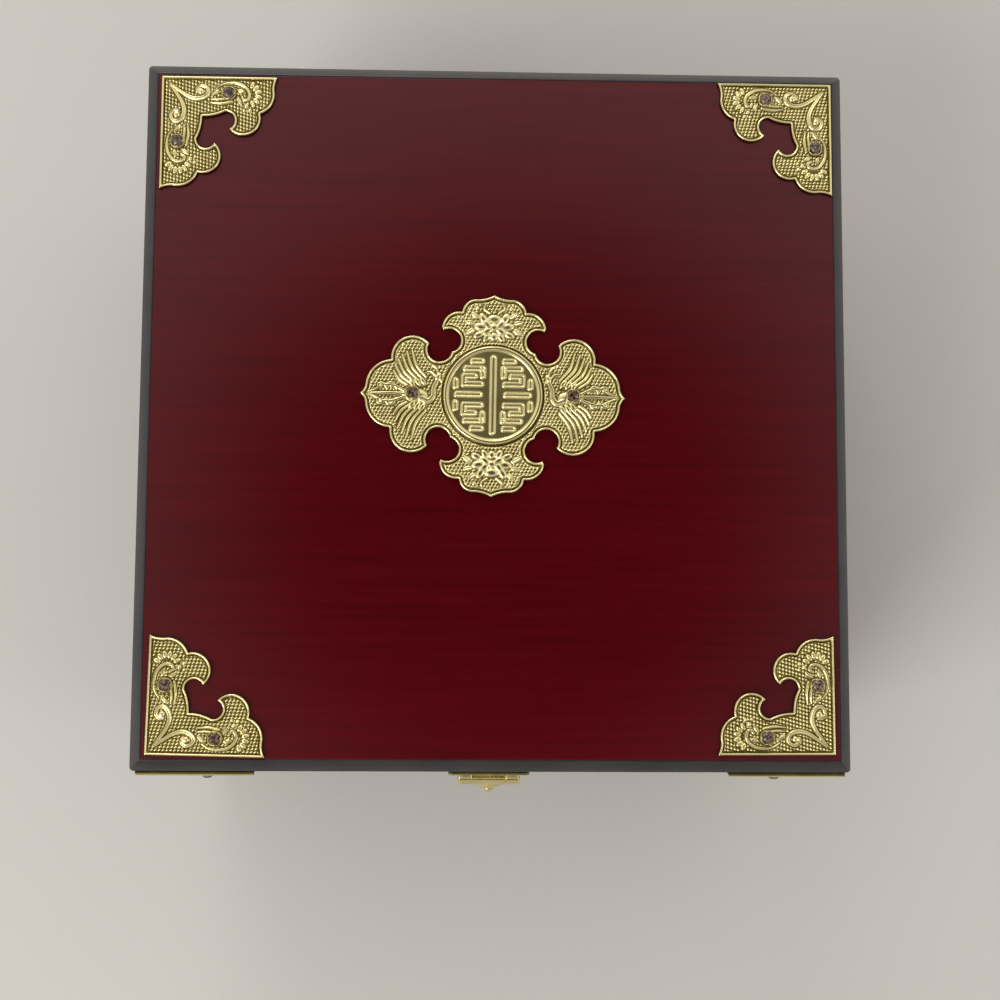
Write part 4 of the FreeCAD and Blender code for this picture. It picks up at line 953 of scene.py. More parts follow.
round_line = np.linspace(0, math.tau, 360, endpoint=False)
disc_outline = DISC_RADIUS * np.stack([np.cos(round_line), np.sin(round_line)], axis=1)
disc_mesh = relief_plate("disc", disc_outline, 0.19, disc_height, DISC_RISE - DISC_SINK, polish=0.2)
disc_frame = medallion_frame @ Matrix.Translation((0, 0, GROUND))
add_plate(disc_mesh, "medallion_disc_relief", disc_frame, "lid", "medallion_disc")
print("disc faces:", len(disc_mesh.polygons))

# %% [markdown]
# ## Stones in their settings
# Each ornament holds small smoke-brown stones, cut with a flat table and a ring of facets, in a
# brass cup whose edge rises into four claws. The stone is rings of eight, eight and sixteen
# points, flat shaded. The cup is a ring whose upper edge swells at the four claws.


# %% Stones and cups
def cut_stone():
    """Table, eight star points, and sixteen girdle points above and below a point at the foot."""
    rings = [(8, 0.0, 1.2, 3.0), (8, 0.5, 1.74, 2.62), (16, 0.0, 2.08, 2.14), (16, 0.0, 2.08, 1.98)]
    points = [np.array([[0, 0, 3.0]])]
    for count, offset, radius, height in rings:
        angle = (np.arange(count) + offset) * math.tau / count
        ring = radius * np.cos(angle), radius * np.sin(angle), np.full(count, height)
        points.append(np.column_stack(ring))
    points.append(np.array([[0, 0, 1.05]]))
    k = np.arange(8)
    table, star, girdle, under, foot = 1, 9, 17, 33, 49
    nxt = (k + 1) % 8
    before, after = (2 * k) % 16, (2 * k + 2) % 16
    g = np.arange(16)
    faces = np.concatenate([
        np.stack([0 * k, table + k, table + nxt], 1),
        np.stack([table + k, star + k, table + nxt], 1),
        np.stack([table + nxt, star + k, star + nxt], 1),
        np.stack([star + k, girdle + before, girdle + before + 1], 1),
        np.stack([star + k, girdle + before + 1, girdle + after], 1),
        np.stack([star + k, girdle + after, star + nxt], 1),
        np.stack([girdle + g, under + g, girdle + (g + 1) % 16], 1),
        np.stack([girdle + (g + 1) % 16, under + g, under + (g + 1) % 16], 1),
        np.stack([under + g, 0 * g + foot, under + (g + 1) % 16], 1),
    ])
    return np.concatenate(points), faces


def claw_cup(around=48):
    """A ring round the stone. Its section is a closed loop, and the loop's top rises and leans
    in by a narrow bell of the angle at each of four claws."""
    angle = np.arange(around) * math.tau / around
    off = (angle + math.pi / 4) % (math.pi / 2) - math.pi / 4
    claw = np.exp(-((off / 0.2) ** 2))[:, None]
    section = np.array([(2.72, 0.9), (2.68, 1.7), (2.5, 2.05), (2.32, 2.1), (2.16, 2.0), (2.12, 0.9)])
    top = np.array([0.0, 0.0, 0.55, 1.0, 0.75, 0.0])
    radius = section[:, 0] - claw * top * 0.42
    height = section[:, 1] + claw * top * 0.5
    points = np.stack([radius * np.cos(angle)[:, None], radius * np.sin(angle)[:, None], height], axis=2)
    return points.reshape(-1, 3), grid_faces(around, len(section), True, True)[:, ::-1]


def smoke_stone():
    finish = Finish("smoke_stone")
    cloud = finish.noise(finish.place, 1100, 2.0)
    return finish.dress(
        Base_Color=finish.between(cloud, (0.02, 0.011, 0.007), (0.22, 0.14, 0.095), 0.42, 0.6),
        Roughness=finish.between(cloud, 0.02, 0.06),
        Transmission_Weight=0.15,
        IOR=1.55,
    )


stone_finish = smoke_stone()
stone_shape, cup_shape = cut_stone(), claw_cup()


def set_stones(name, seats, body, *stands_for):
    """Stones and their cups at (frame, x, y) seats, as two pieces."""
    for kind, (points, faces), finish, slot, nodes in (
        ("stones", stone_shape, stone_finish, "smoke_stone", stands_for),
        ("cups", cup_shape, brass, "brass", ()),
    ):
        spread = []
        for matrix, x, y in seats:
            m = np.array(matrix)
            spread.append(((points + (x, y, 0)) @ m[:3, :3].T + m[:3, 3], faces))
        mesh = mesh_of(f"{name}_{kind}", *joined(*spread), smooth=kind == "cups")
        set_attribute(mesh, "relief", np.full(len(mesh.vertices), 0.65))
        add_piece(mesh, finish, body, slot, *nodes)


def corner_seats(frames):
    """Two seats on each corner ornament, one on each leg."""
    return [(matrix, x, y) for matrix in frames for x, y in (STONE_AT, STONE_AT[::-1])]


FRONT, ORNAMENT_X, ORNAMENT_LOW, ORNAMENT_TOP = -125, 123.2, 14.8, 145.2
RIGHTWARDS, LEFTWARDS, OUTWARDS = (1, 0, 0), (-1, 0, 0), (0, -1, 0)
UPWARDS, DOWNWARDS = (0, 0, 1), (0, 0, -1)
face_frames = {
    "lid": [
        frame_at((-ORNAMENT_X, FRONT, ORNAMENT_TOP), DOWNWARDS, RIGHTWARDS, OUTWARDS),
        frame_at((ORNAMENT_X, FRONT, ORNAMENT_TOP), LEFTWARDS, DOWNWARDS, OUTWARDS),
    ],
    "drawer": [
        frame_at((-ORNAMENT_X, FRONT, ORNAMENT_LOW), RIGHTWARDS, UPWARDS, OUTWARDS),
        frame_at((ORNAMENT_X, FRONT, ORNAMENT_LOW), UPWARDS, LEFTWARDS, OUTWARDS),
    ],
}
lid_seats = corner_seats([*corner_frames.values(), *face_frames["lid"]])
lid_seats += [(medallion_frame, hand * MEDALLION_STONE[0], MEDALLION_STONE[1]) for hand in (-1, 1)]
set_stones("lid", lid_seats, "lid", "lid_stones")
set_stones("drawer", corner_seats(face_frames["drawer"]), "drawer", "drawer_stones")
for body, node in (("lid", "front_corners"), ("drawer", "drawer_corners")):
    for side, matrix in zip(("left", "right"), face_frames[body]):
        add_plate(corner_mesh, f"{node}_{side}_relief", matrix, body, node)
print("stones on the lid:", len(lid_seats))

# %% [markdown]
# ## Turned and bent metal
# Pins, nails and balls are turned on a lathe: a profile of radius and height goes round an axis.
# The bail is a bent wire: a ring of points goes along its path and stays square to it. Both are
# rows of rings, which one helper closes. Cheeks and webs are small boxes with rounded edges.


# %% Turned, bent and boxed metal
def turned(profile, origin, axis, around=32, limit=None):
    """Rings of a profile of (radius, height) round an axis. A limit, if there is one, is the
    largest radius for each angle, which cuts flats or flutes."""
    radius, height = np.array(profile, float).T
    axis = np.array(axis, float)
    side = np.roll(axis, 1)
    angle = np.arange(around) * math.tau / around
    spokes = np.outer(np.cos(angle), side) + np.outer(np.sin(angle), np.cross(axis, side))
    radius = np.minimum(radius[:, None], np.full(around, np.inf) if limit is None else limit(angle))
    return np.array(origin) + height[:, None, None] * axis + radius[:, :, None] * spokes


def bent(path, radii, across, around=16):
    """Rings along a path that lies in a plane: each one is set between the path's side
    direction, its direction times across, and across itself."""
    path, across = np.array(path, float), np.array(across, float)
    along = np.gradient(path, axis=0)
    along /= np.linalg.norm(along, axis=1)[:, None]
    side = np.cross(along, across)
    angle = np.arange(around) * math.tau / around
    spokes = np.cos(angle)[:, None] * side[:, None, :] + np.sin(angle)[:, None] * across
    return path[:, None, :] + np.array(radii)[:, None, None] * spokes


def rod(x_from, x_to, radius, y, z, edge=0.3):
    """A bar along X with its end edges taken off."""
    ends = [(radius - edge, x_from), (radius, x_from + edge), (radius, x_to - edge), (radius - edge, x_to)]
    return closed_tube(turned(ends, (0, y, z), (1, 0, 0)))


def dome_profile(radius, rise, foot):
    """A round head: straight from its foot to height 0, then a quarter of an ellipse."""
    t = np.linspace(0, 0.49 * math.pi, 9)
    return np.vstack([[(radius, foot)], np.column_stack([radius * np.cos(t), rise * np.sin(t)])])


def round_box(low, high, radius, spacing=6.0):
    """A box with rounded edges. Points lie on a grid over its six sides, with lines packed near
    the edges. Each one is drawn back to the inner box, and set a radius away from it."""
    low, high = np.array(low, float), np.array(high, float)
    radius = min(radius, 0.49 * (high - low).min())
    near = radius * (1 - np.cos(np.linspace(0, math.pi / 2, 5)))
    lines = []
    for a, b in zip(low, high):
        count = max(2, int((b - a - 2 * radius) / spacing) + 2)
        middle = np.linspace(a + radius, b - radius, count)[1:-1]
        lines.append(np.concatenate([a + near, middle, b - near[::-1]]))
    points, faces, start = [], [], 0
    for axis in range(3):
        u, v = (axis + 1) % 3, (axis + 2) % 3
        for end in (0, 1):
            first, second = np.meshgrid(lines[u], lines[v], indexing="ij")
            side = np.empty((first.size, 3))
            side[:, axis], side[:, u], side[:, v] = (low, high)[end][axis], first.ravel(), second.ravel()
            around = grid_faces(len(lines[u]), len(lines[v]))
            faces.append((around if end else around[:, ::-1]) + start)
            points.append(side)
            start += len(side)
    points = np.concatenate(points)
    core = np.clip(points, low + radius, high - radius)
    away = points - core
    points = core + away * radius / np.linalg.norm(away, axis=1)[:, None]
    _, first, same = np.unique(np.round(points, 5), axis=0, return_index=True, return_inverse=True)
    return points[first], same.reshape(-1)[np.concatenate(faces)]


SHARP_FROM = 35


def metal(name, parts, body, *nodes, smooth=True, polish=0.95):
    """Parts in millimetres as one brass piece."""
    mesh = closed_mesh(name, *joined(*parts), SHARP_FROM if smooth else None, smooth)
    set_attribute(mesh, "relief", np.full(len(mesh.vertices), polish))
    add_piece(mesh, brass, body, "brass", *nodes)


print("metal helpers ready")

# %% [markdown]
# ## The clasp
# A plate hangs on the lid's front and carries three knuckles: two of its own, and the tongue's
# between them on a pin. The tongue swings down over a second plate, whose two cheeks pinch its
# narrow end. The plates are stamped like the corners, only thinner, since the tongue lies close
# over them. The tongue has a cut boss with a ball to lift it by.

# %% The clasp's plates
CLASP_X, CLASP_TOP, CATCH_TOP = -1.2, 144.5, 100.4
PIN_Y, PIN_Z, KNUCKLE = -128.3, 140.0, 1.75
CLASP_HALF = [
    (None, (0.93, 0.0)), ((1.00, -0.06), (0.93, -0.13)), ((0.80, -0.17), (0.82, -0.27)),
    ((0.98, -0.44), (0.72, -0.60)), ((0.56, -0.66), (0.58, -0.76)), ((0.36, -0.93), (0.0, -1.0)),
]
CATCH_HALF = [
    (None, (0.72, 0.0)), ((0.95, -0.10), (1.00, -0.33)), ((0.92, -0.55), (0.62, -0.64)),
    ((0.60, -0.86), (0.0, -1.0)),
]
CLASP_NAILS = [(11.36, -12.92), (8.24, -20.4)]
CATCH_NAILS = [(9.12, -6.6)]
LOW_GROUND = 1.08


def both_sides(half):
    """An outline from its right half, which runs from the top middle to the bottom middle."""
    return np.concatenate([half, half[-2:0:-1] * (-1, 1)])


def front_frame(x, z, out=0.0):
    """Millimetres on the front: x to the right, y up, and height towards the viewer."""
    return frame_at((x, FRONT - out, z), RIGHTWARDS, UPWARDS, OUTWARDS)


def low_plate(name, outline, step, draw, seats):
    """A thin plate: beads, a low rim, seats round the nails, and what draw adds."""

    def height_of(points, depth):
        relief = Relief(points)
        folded = relief.mirrored(both_halves)
        draw(folded)
        for seat in seats:
            folded.dome(seat, 2.1, 0.24)
        relief.take(folded)
        return stamped(relief, depth, LOW_GROUND, 0.3, ((1.25, 1.1), 0.26, 0.4), rim_share=0.55)

    return relief_plate(name, outline, step, height_of, LOW_GROUND, polish=0.12)


def draw_clasp(relief):
    curl = [(6.7, -10.6), (6.9, -7.2), (8.2, -4.4), (10.1, -4.3), (10.7, -6.2), (9.4, -7.4), (8.5, -6.4)]
    relief.stroke(curl, 0.6, 0.34, (0.6, 0.8), 0.4)
    relief.petal((7.0, -16.8), (12.0, -17.4), 0.9, 0.34, 0.4)
    relief.petal((7.0, -12.4), (9.0, -9.6), 0.7, 0.32, 0.4)


def draw_catch(relief):
    relief.stroke([(6.4, -12.4), (8.6, -12.2), (10.2, -10.4), (9.2, -9.0)], 0.55, 0.34, (0.6, 0.8), 0.4)
    relief.petal((6.4, -4.6), (7.6, -2.2), 0.7, 0.3, 0.4)


def nail_heads(seats, z):
    """Round-headed nails, left and right of the clasp's middle."""
    profile = dome_profile(1.3, 0.7, -0.5)
    return [closed_tube(turned(profile, (CLASP_X + hand * x, FRONT - 1.3, z + y), OUTWARDS, 24))
            for x, y in seats for hand in (-1, 1)]


clasp_outline = both_sides(chain((0, 0), CLASP_HALF, 14.2, 34.0))
catch_outline = both_sides(chain((0, 0), CATCH_HALF, 12.0, 22.0))
plate = low_plate("clasp", clasp_outline, 0.17, draw_clasp, CLASP_NAILS)
add_plate(plate, "clasp_plate_relief", front_frame(CLASP_X, CLASP_TOP), "lid", "clasp_plate")
plate = low_plate("catch", catch_outline, 0.17, draw_catch, CATCH_NAILS)
add_plate(plate, "catch_plate_relief", front_frame(CLASP_X, CATCH_TOP), "case", "catch_plate")
metal("clasp_nail_heads", nail_heads(CLASP_NAILS, CLASP_TOP), "lid", "clasp_nails")
metal("catch_nail_heads", nail_heads(CATCH_NAILS, CATCH_TOP), "case", "catch_nails")
print("clasp plates ready")

# %% [markdown]
# ## Knuckles, pin and cheeks
# A hinge knuckle is a tab of the plate that is rolled round the pin. A short rod with a small box
# behind it looks the same and stays simple. The pin is turned, with a head at each end. The two
# cheeks on the catch plate are small blocks with rounded edges.

# %% Knuckles, pin and cheeks
IN_PLATE = -125.6
cheeks, knuckles = [], []
for a, b in ((-5.0, -3.4), (3.4, 5.0)):
    cheeks.append(round_box((CLASP_X + a, -129.3, 83.4), (CLASP_X + b, IN_PLATE, 90.4), 0.45))
metal("catch_cheeks", cheeks, "case", "catch_plate")
for a, b in ((-10.5, -5.9), (5.9, 10.5)):
    knuckles.append(rod(CLASP_X + a, CLASP_X + b, KNUCKLE, PIN_Y, PIN_Z))
    knuckles.append(round_box((CLASP_X + a, PIN_Y, 138.3), (CLASP_X + b, IN_PLATE, 141.7), 0.25))
metal("clasp_knuckles", knuckles, "lid", "clasp_plate")
PIN_HEAD = [(0.6, -11.0), (1.2, -10.9), (1.4, -10.65), (1.4, -10.5), (0.9, -10.5)]
pin = turned(PIN_HEAD + [(radius, -x) for radius, x in PIN_HEAD[::-1]], (CLASP_X, PIN_Y, PIN_Z), RIGHTWARDS)
metal("clasp_pin_turned", [closed_tube(pin)], "lid", "clasp_pin")
print("knuckles, pin and cheeks ready")

# %% [markdown]
# ## The tongue
# The tongue is a long bar with a narrow rounded end, stamped with a stem and leaves. Near its top
# it carries a cut boss, and a ball to lift it by. The boss is flat shaded, because the light on its
# facets is what tells it from a turned one. The ball and the knuckle are smooth.

# %% The tongue
TONGUE_HALF = [
    (None, (5.7, -1.25)), (None, (5.7, -45.2)), ((5.25, -46.5), (4.2, -47.0)), ((3.45, -47.4), (3.2, -48.4)),
    (None, (3.2, -57.0)), ((2.263, -59.263), (0.0, -60.2)),
]
BOSS_Y, TONGUE_BACK, TONGUE_THICK = -6.7, 1.6, 2.3


def tongue_height(points, depth):
    """A bar with taken-off edges, a line along its border, and a low stem with leaves."""
    relief = Relief(points)
    relief.stroke([(0, -17.0), (0, -30.0), (0, -43.0)], 0.55, 0.42, (0.5, 0.5))
    folded = relief.mirrored(both_halves)
    for y in (-20.5, -26.0, -31.5, -37.0, -42.0):
        folded.petal((0.5, y), (3.5, y + 3.0), 0.95, 0.42, 0.5)
    relief.take(folded)
    edge = 0.5 * np.clip(depth / 0.45, 0, 1) ** 0.6
    line = 0.26 * np.exp(-(((depth - 1.15) / 0.24) ** 2))
    return TONGUE_THICK - 0.55 + edge - line + 0.9 * relief.height


def cut_boss(rings, centre):
    """Rings of eight points, each turned a sixteenth further, so that triangles join them."""
    (x, z), points, faces = centre, [], []
    k = np.arange(8)
    after = (k + 1) % 8
    for step, (radius, out) in enumerate(rings):
        turn = k * math.tau / 8 + (step + 1) * math.pi / 8
        ring = x + radius * np.cos(turn), np.full(8, -out), z + radius * np.sin(turn)
        points.append(np.column_stack(ring))
    foot, top, last = 8 * len(rings), 8 * len(rings) + 1, 8 * (len(rings) - 1)
    for a in range(0, last, 8):
        b = a + 8
        faces += [np.stack([a + k, a + after, b + k], 1), np.stack([a + after, b + after, b + k], 1)]
    points.append(np.array([[x, -rings[0][1], z], [x, -rings[-1][1], z]]))
    faces += [np.stack([0 * k + foot, after, k], 1), np.stack([0 * k + top, last + k, last + after], 1)]
    return np.concatenate(points) + (0, FRONT, 0), np.concatenate(faces)


tongue_outline = both_sides(chain((0, -1.25), TONGUE_HALF, 1.0, 1.0))
plate = relief_plate("tongue", tongue_outline, 0.17, tongue_height, TONGUE_THICK - 0.5, polish=-0.15)
add_plate(plate, "tongue_relief", front_frame(CLASP_X, PIN_Z, TONGUE_BACK), "hasp", "hasp_tongue")
boss = cut_boss([(6.5, 3.6), (4.8, 6.0), (1.9, 7.2)], (CLASP_X, PIN_Z + BOSS_Y))
metal("tongue_boss", [boss], "hasp", "hasp_tongue", smooth=False)
BALL, BALL_OUT = 1.85, 6.8
t = np.linspace(-1.3, 0.49 * math.pi, 18)
profile = np.column_stack([BALL * np.cos(t), BALL_OUT + BALL * np.sin(t)])
ball = closed_tube(turned(profile, (CLASP_X, FRONT, PIN_Z + BOSS_Y), OUTWARDS))
knuckle = rod(CLASP_X - 5.7, CLASP_X + 5.7, KNUCKLE, PIN_Y, PIN_Z)
metal("tongue_ball_and_knuckle", [ball, knuckle], "hasp", "hasp_tongue")
print("tongue ready")

# %% [markdown]
# ## The drawer's pull
# The pull is a stamped plate under two eye bolts, and a bail that swings in the eyes. The plate is
# made like the clasp's, from half an outline and strokes that are mirrored. It stays thin, so that
# the bail can hang in front of it.

# %% The pull's plate
PULL_X, PULL_Y, PULL_Z, PULL_TOP = 19.0, -130.2, 45.0, 54.0
PULL_HALF = [
    ((0.14, -0.10), (0.30, -0.06)), ((0.42, 0.02), (0.52, -0.12)), ((0.80, -0.06), (1.00, -0.42)),
    ((0.92, -0.72), (0.66, -0.72)), ((0.50, -0.72), (0.42, -0.84)), ((0.22, -0.88), (0.0, -1.0)),
]


def draw_pull(relief):
    scroll = [(2.0, -19.6), (6.4, -18.6), (10.4, -15.0), (11.6, -10.4), (8.8, -7.6), (6.2, -9.4),
              (7.6, -11.8)]
    relief.stroke(scroll, 0.75, 0.6, (0.5, 0.9), 0.45)
    relief.oval((0.0, -11.6), 2.6, 1.6, 90, 0.75, 0.2)
    for degrees, out in ((40, 3.3), (-40, 3.3), (90, 3.9), (-90, 3.9)):
        a = math.radians(degrees)
        relief.oval((out * math.cos(a), -11.6 + out * math.sin(a)), 1.5, 0.9, degrees, 0.6, 0.3)
    relief.stroke([(13.4, -6.2), (14.0, -9.6), (15.6, -12.6)], 0.6, 0.5, (0.5, 0.6), 0.4)
    end_curl = [(24.0, -5.4), (26.4, -8.4), (25.6, -12.4), (22.4, -14.6), (17.4, -14.8)]
    relief.stroke(end_curl, 0.65, 0.5, (0.7, 0.5), 0.4)


pull_outline = both_sides(chain((0, 0), PULL_HALF, 30.0, 24.0))
plate = low_plate("pull", pull_outline, 0.19, draw_pull, [(PULL_X, PULL_Z - PULL_TOP)])
add_plate(plate, "pull_plate_relief", front_frame(0, PULL_TOP), "drawer", "pull_plate")
print("pull plate faces:", len(plate.polygons))

# %% [markdown]
# ## Eye bolts and nuts
# Each bolt has a fluted flange on the plate, an eye for the bail, and a threaded shank that goes
# through the drawer's front into a hex nut inside. At this size a thread reads as rings, so the
# shank is turned from a profile with small steps. Flutes and flats come from a limit on the
# radius at each angle, which needs no cutting.


# %% Eye bolts and nuts
EYE, BORE, SHANK, NUT = 3.0, 1.2, 1.5, 3.2


def eye_bolt(x):
    """A fluted flange and a waist, a ball with a bore across it, and a threaded shank."""
    on_front = (x, FRONT, PULL_Z)
    flange = turned([(2.9, 0.9), (3.4, 1.35), (3.4, 1.8), (3.0, 2.2), (2.0, 2.3)], on_front, OUTWARDS, 72,
                    lambda angle: 3.25 + 0.15 * np.cos(12 * angle))
    waist = turned([(2.6, 2.1), (2.1, 2.45), (1.9, 2.9), (2.0, 3.4)], on_front, OUTWARDS)
    t = np.linspace(-1, 1, 19) * math.acos(BORE / EYE)
    eye = turned(np.column_stack([EYE * np.cos(t), EYE * np.sin(t)]), (x, PULL_Y, PULL_Z), RIGHTWARDS, 40)
    thread = [(SHANK - 0.2 * (step % 2), -12.0 + 0.25 * step) for step in range(22)] + [(SHANK, 0.0)]
    shank = turned(thread, on_front, OUTWARDS, 20)
    eye_mesh = (eye.reshape(-1, 3), grid_faces(*eye.shape[:2], True, True))
    return [closed_tube(flange), closed_tube(waist), closed_tube(shank), eye_mesh]


def hex_nut(x):
    """A turned ring cut to six flats: the limit is the hexagon's radius at each angle."""
    half_flat = math.pi / 6
    hexagon = turned([(2.85, 0), (NUT, 0.3), (NUT, 1.7), (2.85, 2.0)], (x, -116, PULL_Z), (0, 1, 0), 48,
                     lambda angle: NUT * math.cos(half_flat) / np.cos(angle % (math.pi / 3) - half_flat))
    return closed_tube(hexagon)


metal("eye_bolts", eye_bolt(-PULL_X) + eye_bolt(PULL_X), "drawer", "pull_bolts")
metal("hex_nuts", [hex_nut(-PULL_X), hex_nut(PULL_X)], "drawer", "pull_nuts", polish=0.8)
print("eye bolts ready")

# %% [markdown]
# ## The bail
# The bail is one wire with a swelling for the fingers and a bead where the swelling ends. Its path
# is made of arcs and straight runs. The swelling and the beads are only a radius that changes
# along the path, so one call of the bent helper makes the whole wire.


# %% The bail
def bail_path():
    """Right half of the wire from its end in the eye: in, round a small bend, down the arm,
    round a wide sweep, and along the grip to the middle. The left half mirrors it."""
    ends = [(16.4, 45.0), (21.5, 45.0), (24.0, 42.5), (24.0, 33.0), (15.0, 24.0), (0.0, 24.0)]
    pieces = [np.linspace(ends[0], ends[1], 8), arc_points(ends[1], (23.268, 44.268), ends[2], 10),
              np.linspace(ends[2], ends[3], 8)[1:], arc_points(ends[3], (21.364, 26.636), ends[4], 20),
              np.linspace(ends[4], ends[5], 110)[1:]]
    half = np.concatenate(pieces)
    line = np.concatenate([half, half[-2::-1] * (-1, 1)])
    return np.column_stack([line[:, 0], np.full(len(line), PULL_Y), line[:, 1]])


WIRE, GRIP_Z, GRIP_HALF = 1.15, 24.0, 11.0
path = bail_path()
on_grip = path[:, 2] < GRIP_Z + 0.01
away = np.abs(path[:, 0])
swell = 0.95 * np.cos(np.clip(away / GRIP_HALF, 0, 1) * math.pi / 2) ** 1.1
collars = 0
for at, rise in ((11.6, 0.5), (0.0, 0.12)):
    collars = collars + rise * np.sqrt(np.clip(1 - ((away - at) / 0.55) ** 2, 0, 1))
radii = WIRE + np.where(on_grip, swell + collars, 0)
metal("bail_wire", [closed_tube(bent(path, radii, (0, 1, 0)))], "bail", "drawer_bail")
print("bail ready, largest radius", round(float(radii.max()), 2), "mm")

# %% [markdown]
# ## Hinges
# Each hinge has a leaf on the case and one on the lid. They keep their CAD shape, with the edges
# taken off. Each screw is a low dome with a slot, set flush in its leaf, and no two slots line up.

# %% Hinge screws
SCREW_RADIUS, SCREW_Y, HINGE_Z = 2.15, 125.42, 102.0
SCREW_SPOTS = [(75 * hand + dx, dz) for hand in (-1, 1) for dx, dz in ((-10, 10), (0, 9.5), (10, 10))]


def screw_height(points, depth):
    """A low dome with a slot across it."""
    dome = 0.85 - 0.1 * (np.hypot(*points.T) / SCREW_RADIUS) ** 2
    return dome - 0.42 * (np.abs(points[:, 1]) < 0.3)


screw_outline = SCREW_RADIUS * np.stack([np.cos(round_line[::6]), np.sin(round_line[::6])], axis=1)
screw_mesh = relief_plate("screw", screw_outline, 0.15, screw_height, 0.72, polish=0.4)
for body, node, way in (("case", "hinge_case_screws", -1), ("lid", "hinge_lid_screws", 1)):
    for index, (x, dz) in enumerate(SCREW_SPOTS):
        angle = 0.4 + 1.1 * index + 0.5 * way
        cosine, sine = math.cos(angle), math.sin(angle)
        spot = (x, SCREW_Y, HINGE_Z + way * dz)
        matrix = frame_at(spot, (-cosine, 0, sine), (sine, 0, cosine), (0, 1, 0))
        add_plate(screw_mesh, f"{node}_{index + 1}", matrix, body, node)
print("screws:", 2 * len(SCREW_SPOTS))

# %% [markdown]
# ## Mouldings
# The lid's black edge, the plinth, the mirror's frame and the velvet margin round it are all
# strips with one section, mitred at the corners. A strip is its section carried along one side.
# Near each end a point at a distance in from the face turns with the box's rounded corner, on an
# arc that is smaller by that distance, as far as the mitre at 45 degrees.

# %% Mitred strips
CORNER_ROUND = 1.5
BEND_POINTS, SIDE_POINTS = 7, 22


def mitred_strip(side, half, section):
    """Points and faces of one side of a square frame, whose faces stand half from the middle.
    The section is a closed loop of (distance in, height)."""
    inwards, height = np.array(section).T
    hub = np.maximum(inwards, CORNER_ROUND)
    radius = hub - inwards
    bend = np.linspace(math.pi / 4, 0, BEND_POINTS)
    angle = np.concatenate([bend, np.zeros(SIDE_POINTS), bend[::-1]])[:, None]
    end, between = np.ones(BEND_POINTS), np.linspace(-1, 1, SIDE_POINTS + 2)[1:-1]
    hand = np.concatenate([-end, between, end])[:, None]
    along = hand * (half - hub) + np.sign(hand) * radius * np.sin(angle)
    out = -(half - hub) - radius * np.cos(angle)
    quarter = {"front": 0, "right": 1, "back": 2, "left": 3}[side]
    cosine, sine = (1, 0, -1, 0)[quarter], (0, 1, 0, -1)[quarter]
    x, y = along * cosine - out * sine, along * sine + out * cosine
    return closed_tube(np.stack([x, y, np.broadcast_to(height, x.shape)], axis=2))


def rounded_section(corners, radii, count=4, hold=0.0):
    """A closed loop of points whose corners are rounded: each corner is an arc between the two
    places where a circle of its radius touches the sides. With hold, one more point that far
    along each side keeps the long sides flat under smooth shading."""
    corners = np.array(corners, float)
    before = np.roll(corners, 1, axis=0) - corners
    after = np.roll(corners, -1, axis=0) - corners
    before /= np.linalg.norm(before, axis=1)[:, None]
    after /= np.linalg.norm(after, axis=1)[:, None]
    radii = np.array(radii, float)[:, None]
    half = np.arccos(np.clip((before * after).sum(1), -1, 1))[:, None] / 2
    start, end = corners + before * radii / np.tan(half), corners + after * radii / np.tan(half)
    t = np.linspace(0, 1, count)[:, None, None]
    arc = (1 - t) ** 2 * start + 2 * t * (1 - t) * corners + t**2 * end
    if hold:
        arc = np.concatenate([(start + before * hold)[None], arc, (end + after * hold)[None]])
    return arc.transpose(1, 0, 2).reshape(-1, 2)


SIDES = ("front", "right", "back", "left")
black = dict.fromkeys(SIDES, lacquer)
red = {side: red_wood[grain] for side, grain in zip(SIDES, "xyxy")}


def add_strips(label, half, section, finishes, body, slot, node):
    """Four strips as four pieces. A {} in the node's name stands for the side."""
    for side in SIDES:
        mesh = closed_mesh(f"{label}_{side}", *mitred_strip(side, half, section), SHARP_FROM)
        add_piece(mesh, finishes[side], body, slot, node.format(side))


HALF = 125
edge_low, edge_top = (corner.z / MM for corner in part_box("lid_edge_front"))
edge_section = rounded_section(
    [(0, edge_low), (0, edge_top - 4), (4.0, edge_top), (4.5, edge_top), (4.5, edge_low)],
    [0.1, 0.8, 0.5, 0.1, 0.1],
)
add_strips("lid_bevel", HALF, edge_section, black, "lid", "black_lacquer", "lid_edge_{}")
plinth_section = rounded_section([(0, 1.5), (0, 13.5), (14, 13.5), (14, 1.5)], [1.4, 0.5, 0.1, 0.1])
add_strips("plinth", HALF, plinth_section, black, "case", "black_lacquer", "plinth")
FRAME_SECTION = [(0, 142), (0, 137.2), (0.6, 136.2), (1.8, 136.0), (3.0, 136.5), (3.8, 137.6), (5.0, 137.9),
                 (6.6, 137.2), (8.4, 136.6), (9.4, 136.9), (10, 137.9), (10, 139), (7.8, 139), (7.8, 142)]
frame_section = rounded_section(FRAME_SECTION, [0.15] * len(FRAME_SECTION), 3)
add_strips("mirror_moulding", 106, frame_section, red, "lid", "red_wood", "mirror_frame")
skirt_section = rounded_section([(0, 102), (0, 142), (8.4, 142), (8.4, 102)], [0.4] * 4, hold=0.6)
add_strips("lid_skirt_board", HALF, skirt_section, red, "lid", "red_wood", "lid_skirt_{}")
print("mitred strips ready")

# %% [markdown]
# ## Boards across the front and the back
# The drawer's front, the rail above it and the back panel run from side to side, so their outer
# corners are the box's own rounded ones. A board is its plan, with rounded corners, at a few
# heights: it draws in a little at the bottom and the top, which rounds those edges as well.

# %% Front and back boards
INNER_ROUND, BOARD_SHARP_FROM = 0.2, 50
# How far the plan draws in, and how far from the bottom or the top it does so.
STEPS_IN = [(2.0, 0.0), (0.5, 0.0), (0.4, 0.0), (0.12, 0.12), (0.0, 0.4), (0.0, 1.2)]


